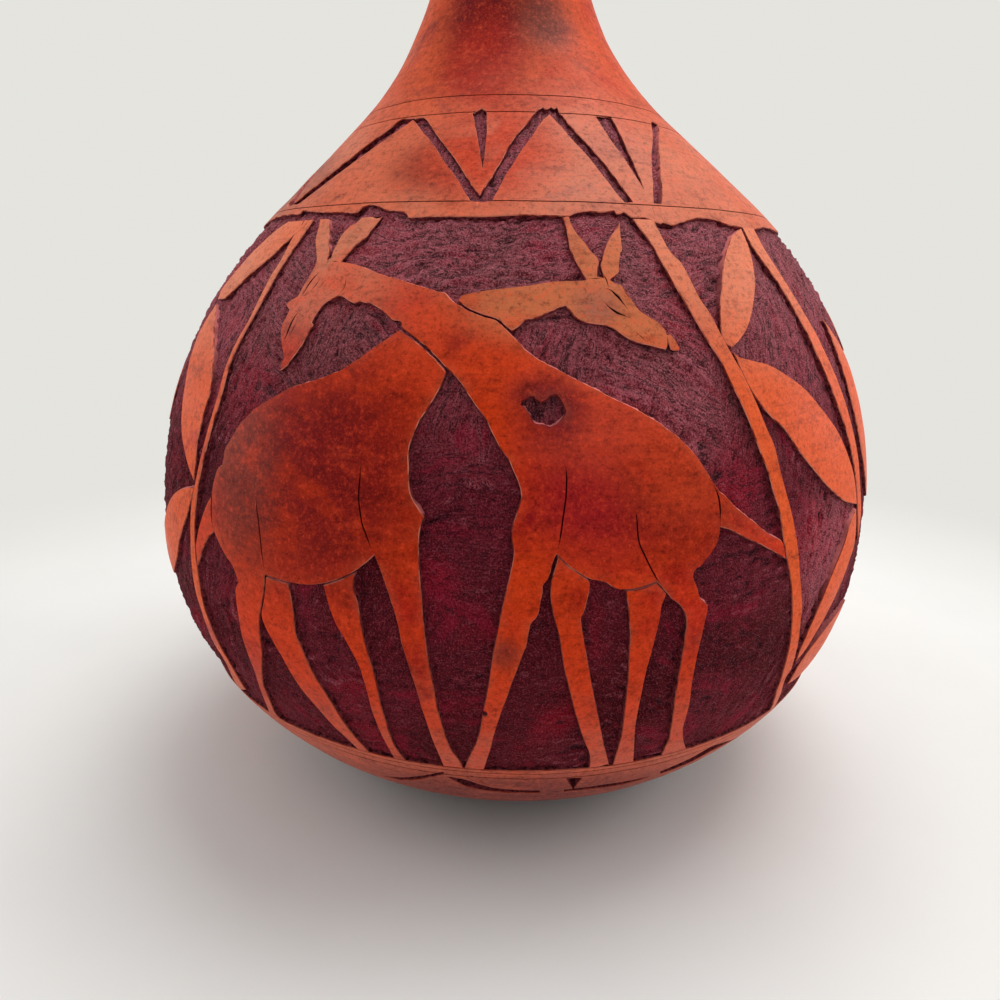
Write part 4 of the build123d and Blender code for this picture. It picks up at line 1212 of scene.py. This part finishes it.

# %% [markdown]
# ## The dyed and waxed skin
# The carver dyed the gourd orange and red, rubbed it and waxed it. The dye took unevenly, so
# the colour runs from bright orange through brick to blotches of deep crimson. A fine grain
# runs round the gourd, with darker smudges along it. Scored lines are darkened, and the rim
# of each carved figure is rubbed a little paler. A sheen is painted on the skin high on the
# gourd and low on the underside, and painted shade lies near the foot. The three skins differ
# in how much red they took.

# %% Waxed skin
def waxed_skin(name, orange, brick, crimson, redness, pale, blotches=()):
    skin = Finish(name, 0.45)
    skin.shader.inputs["Specular IOR Level"].default_value = 0.07
    wide = skin.cloud(38, 3, shift=4)
    middle = skin.cloud(9, 5, (1.6, 1.6, 1), shift=9, twist=0.6)
    fine = skin.cloud(1.2, 5, roughness=0.75)
    pores = skin.cloud(0.42, 3, roughness=0.7)
    grain = skin.cloud(1.1, 4, (6, 6, 1), 0.65, shift=2)
    smudge = skin.cloud(4.5, 6, (2, 2, 1), 0.75, shift=13)
    brick_share = skin.sums("ADD", skin.sums("MULTIPLY", wide, 0.55),
                            skin.sums("MULTIPLY", middle, 0.45))
    colour = skin.blend(skin.steps(brick_share, 0.58 - redness, 0.72 - redness), orange, brick)
    deep = skin.steps(skin.cloud(22, 4, shift=21, twist=0.4), 0.60 - redness * 0.5,
                      0.76 - redness * 0.5)
    colour = skin.blend(deep, colour, crimson)
    rise = skin.add("ShaderNodeSeparateXYZ", {0: skin.place}).outputs["Z"]
    # Painted sheen: skin between 106 and 174 mm high is painted paler in broad patches, standing in for the
    # reflection of a bright room.
    painted_high_sheen = skin.sums("MULTIPLY", skin.steps(rise, 0.106, 0.134, 0, pale),
                            skin.steps(rise, 0.174, 0.156))
    painted_high_sheen = skin.sums("MULTIPLY", painted_high_sheen, skin.steps(wide, 0.35, 0.55, 0.6, 1))
    colour = skin.blend(painted_high_sheen, colour, dye(218, 158, 128))
    # Painted sheen: the underside between 64 and 32 mm high is painted paler, as if it reflected the lit floor.
    painted_low_sheen = skin.sums("MULTIPLY", skin.steps(rise, 0.064, 0.032, 0, 0.6),
                         skin.steps(middle, 0.3, 0.6, 0.5, 1))
    colour = skin.blend(painted_low_sheen, colour, dye(196, 116, 98))
    # Painted shade: the skin below 30 mm, under the belly, is painted dark purple.
    painted_foot_shade = skin.sums("MULTIPLY", skin.steps(rise, 0.030, 0.008),
                       skin.steps(middle, 0.2, 0.5, 0.6, 0.95))
    colour = skin.blend(painted_foot_shade, colour, dye(62, 24, 34))
    # Most blotches are stains; those marked where they are listed are painted shade or painted sheen.
    for pixel, reach, stain_and_light_tone, strength in blotches:
        centre = on_skin(chart_of([pixel]))[0]
        share = skin.sums("MULTIPLY", skin.spot(centre, reach, 0.6),
                          skin.steps(middle, 0.22, 0.5, 0.3 * strength, strength))
        colour = skin.blend(share, colour, stain_and_light_tone)
    dark = tuple(c * 0.28 for c in crimson[:3]) + (1,)
    light = tuple(min(1, c * 1.5 + 0.02) for c in orange[:3]) + (1,)
    colour = skin.blend(skin.steps(smudge, 0.52, 0.76, 0, 0.65), colour, dark)
    colour = skin.blend(skin.steps(smudge, 0.48, 0.26, 0, 0.35), colour, light)
    colour = skin.blend(skin.steps(grain, 0.48, 0.78, 0, 0.35), colour, dark)
    colour = skin.blend(skin.steps(fine, 0.50, 0.72, 0, 0.6), colour, dark)
    colour = skin.blend(skin.steps(fine, 0.50, 0.28, 0, 0.4), colour, light)
    colour = skin.blend(skin.steps(pores, 0.54, 0.72, 0, 0.45), colour, dark)
    colour = skin.blend(skin.steps(pores, 0.46, 0.30, 0, 0.3), colour, light)
    rubbed = skin.sums("MULTIPLY", skin.mark("rim"), skin.steps(middle, 0.42, 0.62, 0, 0.15))
    colour = skin.blend(rubbed, colour, dye(232, 122, 84))
    scored = skin.steps(skin.mark("groove"), 0.05, 0.4)
    colour = skin.blend(scored, colour, dye(40, 8, 14))
    skin.paint(colour)
    skin.gloss(skin.steps(skin.sums("ADD", skin.sums("MULTIPLY", fine, 0.5),
                                    skin.sums("MULTIPLY", middle, 0.5)), 0.3, 0.7, 0.36, 0.55))
    skin.bump(skin.sums("ADD", skin.sums("MULTIPLY", fine, 0.6),
                        skin.sums("MULTIPLY", grain, 0.4)), 0.3, 0.12)
    return skin.material


wine, soot = dye(112, 10, 18), dye(92, 44, 38)
pale_ochre_and_sheen = dye(208, 116, 74)
polished_skin = waxed_skin("waxed_shoulder_skin", dye(206, 76, 32), dye(190, 56, 30),
                           dye(146, 32, 28), 0.07, 0.38,
                           [((485, 15), (9, 14, 24), wine, 1.0),
                            ((482, 62), (8, 12, 14), dye(176, 32, 10), 0.9),
                            ((546, 20), (6, 8, 8), soot, 0.8),
                            ((440, 165), (10, 12, 7), dye(126, 24, 14), 0.7),
                            ((492, 150), (12, 14, 16), dye(200, 56, 12), 0.95),
                            ((300, 190), (12, 20, 10), soot, 0.5),
                            # painted shade on the underside at the front of the foot
                            ((520, 792), (34, 24, 8), dye(84, 30, 40), 0.75)])
giraffe_skin = waxed_skin("waxed_giraffe_skin", dye(212, 58, 10), dye(186, 32, 8),
                          dye(140, 10, 10), 0.09, 0.12,
                          [((320, 470), (20, 18, 22), wine, 0.9),
                           ((600, 490), (14, 14, 12), dye(150, 14, 34), 0.8),
                           ((690, 510), (12, 12, 10), dye(118, 14, 12), 0.7),
                           ((600, 415), (14, 12, 9), dye(208, 74, 50), 0.7),
                           ((680, 470), (12, 10, 9), dye(204, 66, 30), 0.7),
                           ((240, 480), (9, 12, 18), soot, 0.7),
                           ((505, 655), (2.5, 4, 3), soot, 0.6),
                           ((546, 411), (6.5, 6, 5.5), dye(104, 18, 34), 0.95),
                           # The pale blotches on the heads and necks below are partly ochre dye and partly
                           # painted sheen.
                           ((535, 296), (13, 13, 7), pale_ochre_and_sheen, 0.95),
                           ((625, 312), (13, 13, 10), pale_ochre_and_sheen, 0.95),
                           ((598, 300), (4, 4, 4), dye(140, 92, 84), 0.7),
                           ((600, 250), (12, 12, 10), pale_ochre_and_sheen, 0.9),
                           ((330, 275), (14, 14, 11), dye(212, 112, 84), 0.95),
                           ((348, 230), (13, 13, 8), dye(210, 130, 98), 0.8)])
plant_skin = waxed_skin("waxed_plant_skin", dye(226, 84, 26), dye(212, 66, 28),
                        dye(186, 46, 32), 0.0, 0.5)

# %% [markdown]
# ## Cut edges
# Seen close, the knife left two things at each edge: a hair of pale flesh where it went
# through the waxed surface, and below it a dark torn wall, stained like the wood. Walls that
# face up high on the gourd are painted paler, as if lit from above.

# %% Chamfer and wall
rim_finish = Finish("pale_cut_edge", 0.6)
rim_finish.shader.inputs["Specular IOR Level"].default_value = 0.08
rim_rise = rim_finish.add("ShaderNodeSeparateXYZ", {0: rim_finish.place}).outputs["Z"]
pale_share = rim_finish.sums("MULTIPLY", rim_finish.steps(rim_finish.cloud(3, 3), 0.62, 0.42),
                             rim_finish.steps(rim_rise, 0.060, 0.100, 0.25, 1))
rim_colour = rim_finish.blend(pale_share, dye(136, 44, 28), dye(222, 128, 104))
chest_pit = rim_finish.spot(on_skin(chart_of([(545, 411)]))[0], (6, 6, 6), 0.2)
rim_finish.paint(rim_finish.blend(chest_pit, rim_colour, dye(96, 22, 26)))
rim_finish.bump(rim_finish.cloud(0.6, 3), 0.3, 0.1)
wall_finish = Finish("dark_cut_wall", 0.8)
wall_finish.shader.inputs["Specular IOR Level"].default_value = 0.08
torn_wall = wall_finish.blend(wall_finish.steps(wall_finish.cloud(0.8, 4), 0.35, 0.65),
                              dye(52, 12, 20), dye(124, 48, 54))
# Painted light: walls that face up and stand high on the gourd are painted pale pink, as if lit from above.
painted_light_on_upper_walls = wall_finish.sums("MULTIPLY", wall_finish.steps(wall_finish.mark("rim"), 0.35, 0.9, 0, 0.9),
                              wall_finish.steps(wall_finish.cloud(4, 4, shift=3), 0.3, 0.5, 0.4, 1))
wall_rise = wall_finish.add("ShaderNodeSeparateXYZ", {0: wall_finish.place}).outputs["Z"]
painted_light_on_upper_walls = wall_finish.sums("MULTIPLY", painted_light_on_upper_walls, wall_finish.steps(wall_rise, 0.045, 0.075))
wall_finish.paint(wall_finish.blend(painted_light_on_upper_walls, torn_wall, dye(214, 118, 116)))
wall_finish.bump(wall_finish.cloud(0.5, 4, (1, 1, 3)), 0.6, 0.2)
print("cut edges:", rim_finish.material.name, wall_finish.material.name)

# %% [markdown]
# ## Stained wood
# The wood under the skin drank a purple-black stain. It is matt and fibrous, and crimson in
# places where the red dye came through. Light and shade are painted into it: paler on the
# ridges of the gouge marks and high on the gourd, nearly black in the hollows and creases.

# %% Stained wood
wood_finish = Finish("stained_wood", 0.78)
stroke = wood_finish.add("ShaderNodeAttribute", attribute_name="stroke").outputs["Vector"]
stain = wood_finish.cloud(24, 4, shift=3)
grit = wood_finish.cloud(0.34, 3, roughness=0.75, shift=8)
coarse = wood_finish.cloud(0.9, 4, (1.6, 1, 1), 0.75, shift=6, on=stroke)
hair = wood_finish.cloud(0.4, 3, (5, 1, 1), 0.65, shift=16, on=stroke)
ledge = wood_finish.sums("ABSOLUTE", wood_finish.sums(
    "SUBTRACT", wood_finish.cloud(3.2, 4, (6, 1, 1), 0.6, shift=26, on=stroke), 0.5))
ridge = wood_finish.mark("ridge")
colour = wood_finish.blend(wood_finish.steps(stain, 0.35, 0.65), dye(80, 6, 16), dye(112, 28, 42))
red = wood_finish.steps(wood_finish.cloud(20, 3, shift=31, twist=0.5), 0.56, 0.72, 0, 0.8)
colour = wood_finish.blend(red, colour, dye(146, 12, 34))
# Painted light: the wood high on the gourd, under the shoulder and beside the thick stem is painted paler in
# patches, as if lit from above.
painted_light_tone = wood_finish.blend(wood_finish.steps(stain, 0.3, 0.7), dye(162, 92, 96), dye(206, 92, 106))
rise = wood_finish.add("ShaderNodeSeparateXYZ", {0: wood_finish.place}).outputs["Z"]
painted_light_high = wood_finish.steps(rise, 0.092, 0.132, 0, 0.75)
for pixel, reach in [((655, 385), 16), ((835, 560), 14), ((700, 270), 14)]:
    near_spot = wood_finish.spot(on_skin(chart_of([pixel]))[0], (reach, reach, reach), 0.6)
    painted_light_high = wood_finish.sums("MAXIMUM", painted_light_high, wood_finish.sums("MULTIPLY", near_spot, 0.7))
painted_light_patches = wood_finish.sums("MULTIPLY", painted_light_high, wood_finish.steps(coarse, 0.66, 0.36, 0.15, 0.8))
colour = wood_finish.blend(painted_light_patches, colour, painted_light_tone)
for pixel, reach in [((735, 488), 6), ((814, 545), 7), ((695, 320), 6), ((245, 385), 7),
                     ((432, 580), 4)]:
    near_spot = wood_finish.spot(on_skin(chart_of([pixel]))[0], (reach, reach, reach), 0.6)
    bled = wood_finish.sums("MULTIPLY", near_spot, wood_finish.steps(coarse, 0.3, 0.6, 0.2, 0.7))
    colour = wood_finish.blend(bled, colour, dye(168, 16, 44))
# Painted shade: the hollows of the gouge marks are painted nearly black.
colour = wood_finish.blend(wood_finish.steps(ridge, 0.44, 0.1, 0, 0.85), colour, dye(30, 4, 12))
colour = wood_finish.blend(wood_finish.steps(coarse, 0.50, 0.68, 0, 0.6), colour, dye(34, 5, 16))
colour = wood_finish.blend(wood_finish.steps(hair, 0.56, 0.72, 0, 0.4), colour, dye(166, 86, 100))
# Painted shade and highlight: thin creases between the fibre ledges are painted nearly black, and high on the
# gourd the lips beside them are painted paler.
torn = wood_finish.sums("MULTIPLY", wood_finish.steps(ledge, 0.028, 0.004),
                        wood_finish.steps(rise, 0.060, 0.115, 0.15, 0.7))
painted_lip_highlight = wood_finish.sums("MULTIPLY", wood_finish.steps(ledge, 0.10, 0.045), painted_light_high)
raw = wood_finish.steps(wood_finish.cloud(7, 4, (2.5, 1, 1), 0.65, shift=41, on=stroke), 0.54, 0.66)
colour = wood_finish.blend(wood_finish.sums("MULTIPLY", raw, 0.6), colour, dye(146, 20, 48))
colour = wood_finish.blend(wood_finish.sums("MULTIPLY", painted_lip_highlight, 0.45), colour, dye(190, 110, 118))
colour = wood_finish.blend(wood_finish.steps(grit, 0.50, 0.36, 0, 0.8), colour, dye(30, 4, 14))
# painted shade in the creases
colour = wood_finish.blend(torn, colour, dye(22, 3, 10))
# Pale grit specks, painted paler still high on the gourd as if lit from above.
grit_with_painted_light = wood_finish.blend(painted_light_high, dye(160, 64, 78), dye(216, 138, 142))
colour = wood_finish.blend(wood_finish.steps(grit, 0.53, 0.67, 0, 0.7), colour, grit_with_painted_light)
# Painted light: the ridges of the gouge marks are painted pale pink.
painted_ridge_light = wood_finish.sums("MULTIPLY", wood_finish.steps(ridge, 0.62, 1.0, 0, 0.7),
                        wood_finish.steps(grit, 0.40, 0.62))
colour = wood_finish.blend(painted_ridge_light, colour, dye(176, 96, 108))
wood_finish.paint(colour)
wood_finish.shader.inputs["Specular IOR Level"].default_value = 0.08
wood_finish.bump(coarse, -0.8, 0.35)
wood_finish.bump(torn, -0.8, 0.3)
wood_finish.bump(grit, 1.0, 0.3)
inner_finish = Finish("pale_inner_wall", 0.9)
inner_finish.paint(inner_finish.blend(inner_finish.cloud(6, 4), dye(196, 170, 128),
                                      dye(160, 128, 88)))
inner_finish.bump(inner_finish.cloud(1.2, 4), 0.5, 0.3)
stem_finish = Finish("dry_stem_fibre", 0.8)
stem_finish.shader.inputs["Specular IOR Level"].default_value = 0.15
strand = stem_finish.cloud(0.7, 4, (1, 1, 7), 0.65)
stem_colour = stem_finish.blend(stem_finish.steps(strand, 0.35, 0.65), dye(96, 66, 40),
                                dye(168, 132, 88))
stem_colour = stem_finish.blend(stem_finish.steps(stem_finish.cloud(4, 3, shift=5), 0.5, 0.7, 0, 0.6),
                                stem_colour, dye(70, 44, 26))
stem_finish.paint(stem_colour)
stem_finish.bump(strand, 0.8, 0.3)
seed_finish = Finish("dry_seed", 0.7)
seed_grain = seed_finish.cloud(1.0, 4, roughness=0.65)
seed_finish.paint(seed_finish.blend(seed_finish.steps(seed_grain, 0.35, 0.65), dye(206, 182, 138),
                                    dye(166, 132, 88)))
seed_finish.bump(seed_grain, 0.5, 0.15)
scar_finish = Finish("blossom_scar_cork", 0.85)
cork = scar_finish.cloud(0.8, 4, roughness=0.7)
scar_finish.paint(scar_finish.blend(scar_finish.steps(cork, 0.35, 0.65), dye(92, 52, 34),
                                    dye(144, 92, 60)))
scar_finish.bump(cork, 0.8, 0.2)
for node, finish in [("seeds", seed_finish), ("blossom_scar", scar_finish)]:
    for place in bpy.data.objects[node].material_slots:
        place.material = finish.material
stem_piece.data.materials.append(stem_finish.material)
for piece, skin in [(nearer_giraffe, giraffe_skin), (farther_neck, giraffe_skin),
                    (farther_body, giraffe_skin), (far_leg_pieces, giraffe_skin),
                    (stem_pieces, plant_skin), (leaf_pieces, plant_skin),
                    (neck_skin, polished_skin), (base_piece, polished_skin)]:
    for finish in (skin, rim_finish.material, wall_finish.material):
        piece.data.materials.append(finish)
front_wood_piece.data.materials.append(wood_finish.material)
back_wood_piece.data.materials.append(wood_finish.material)
inner_piece.data.materials.append(inner_finish.material)
print("nodes in the wood's finish:", len(wood_finish.tree.nodes))

# %% [markdown]
# ## Floor and light
# The picture was taken on a white sweep with soft light from above and from both sides, and
# little from the front. The sweep is one sheet that curves up far behind the gourd.

# %% Floor
sweep = bmesh.new()
low_edge = [sweep.verts.new((x, -1.6, 0)) for x in (-3, 3)]
edges = [sweep.edges.new(low_edge)]
for y, z in [(1.0, 0)] + [(1.0 + 0.8 * math.sin(a), 0.8 - 0.8 * math.cos(a))
                          for a in np.linspace(0, math.pi / 2, 17)[1:]] + [(1.8, 3.2)]:
    grown = bmesh.ops.extrude_edge_only(sweep, edges=edges)["geom"]
    edges = [e for e in grown if isinstance(e, bmesh.types.BMEdge)
             and all(v in grown for v in e.verts)]
    for vert in grown:
        if isinstance(vert, bmesh.types.BMVert):
            vert.co.y, vert.co.z = y, z
bmesh.ops.recalc_face_normals(sweep, faces=sweep.faces[:])
if sweep.faces[0].normal.z < 0:
    bmesh.ops.reverse_faces(sweep, faces=sweep.faces[:])
for face in sweep.faces:
    face.smooth = True
sweep_mesh = bpy.data.meshes.new("sweep")
sweep.to_mesh(sweep_mesh)
sweep.free()
floor = bpy.data.objects.new("sweep", sweep_mesh)
bpy.context.collection.objects.link(floor)
paper = Finish("white_paper", 0.75)
paper.paint(paper.blend(paper.steps(paper.cloud(90, 3), 0.3, 0.7), dye(228, 227, 223),
                        dye(224, 223, 219)))
# Away from the gourd and its shadow the camera sees plain lit paper, whatever the lamps do.
near = paper.spot((0, 0, 0), (240, 240, 240), 0.5)
ray = paper.add("ShaderNodeLightPath")
seen = paper.sums("MAXIMUM", ray.outputs["Is Camera Ray"], ray.outputs["Is Glossy Ray"])
plain = paper.sums("MULTIPLY", seen, paper.sums("SUBTRACT", 1.0, near))
backdrop = dye(229, 228, 223)
shine = paper.add("ShaderNodeEmission", {"Color": backdrop})
mixed = paper.add("ShaderNodeMixShader", {0: plain, 1: paper.shader.outputs[0],
                                          2: shine.outputs[0]})
paper.tree.links.new(mixed.outputs[0], paper.tree.nodes["Material Output"].inputs["Surface"])
sweep_mesh.materials.append(paper.material)
print("sweep faces:", len(sweep_mesh.polygons))

# %% Light
world = bpy.data.worlds.new("studio")
bpy.context.scene.world = world
world.use_nodes = True
sky = world.node_tree
way = sky.nodes.new("ShaderNodeTexCoord")
parts = sky.nodes.new("ShaderNodeSeparateXYZ")
fade = sky.nodes.new("ShaderNodeMapRange")
fade.interpolation_type = "SMOOTHSTEP"
for name, value in (("From Min", 0.9), ("From Max", -0.9), ("To Min", 0.9), ("To Max", 0.2)):
    fade.inputs[name].default_value = value
lift = sky.nodes.new("ShaderNodeMath")
lift.operation = "ADD"
sky.links.new(way.outputs["Generated"], parts.inputs[0])
sky.links.new(parts.outputs["Y"], lift.inputs[0])
sky.links.new(parts.outputs["Z"], lift.inputs[1])
sky.links.new(lift.outputs[0], fade.inputs["Value"])
sky.links.new(fade.outputs[0], sky.nodes["Background"].inputs["Strength"])
sky.nodes["Background"].inputs["Color"].default_value = (0.9, 0.91, 0.93, 1)
# The camera and the gloss see the studio's walls as pale as the sweep.
walls = sky.nodes.new("ShaderNodeBackground")
walls.inputs["Color"].default_value = backdrop
ray = sky.nodes.new("ShaderNodeLightPath")
seen = sky.nodes.new("ShaderNodeMath")
seen.operation = "MAXIMUM"
seen_through = sky.nodes.new("ShaderNodeMath")
seen_through.operation = "MAXIMUM"
chosen = sky.nodes.new("ShaderNodeMixShader")
sky.links.new(ray.outputs["Is Camera Ray"], seen.inputs[0])
sky.links.new(ray.outputs["Is Glossy Ray"], seen.inputs[1])
sky.links.new(seen.outputs[0], seen_through.inputs[0])
sky.links.new(ray.outputs["Is Transmission Ray"], seen_through.inputs[1])
sky.links.new(seen_through.outputs[0], chosen.inputs[0])
sky.links.new(sky.nodes["Background"].outputs[0], chosen.inputs[1])
sky.links.new(walls.outputs[0], chosen.inputs[2])
sky.links.new(chosen.outputs[0], sky.nodes["World Output"].inputs["Surface"])


def softbox(name, place, aim, size, watts):
    lamp = bpy.data.lights.new(name, "AREA")
    lamp.shape, lamp.size, lamp.size_y, lamp.energy = "RECTANGLE", size[0], size[1], watts
    box = bpy.data.objects.new(name, lamp)
    bpy.context.collection.objects.link(box)
    way = Vector(aim) - Vector(place)
    box.matrix_world = Matrix.Translation(place) @ way.to_track_quat("-Z", "Y").to_matrix().to_4x4()
    return box


softbox("top_light", (0.25, 0.25, 1.2), (0, 0, 0.1), (1.0, 0.8), 9.6)
softbox("left_light", (-1.1, 0.15, 0.5), (0, 0, 0.12), (0.6, 0.8), 3.3)
softbox("right_light", (1.1, 0.15, 0.5), (0, 0, 0.12), (0.6, 0.8), 4.8)
bpy.context.scene.view_settings.view_transform = "Standard"
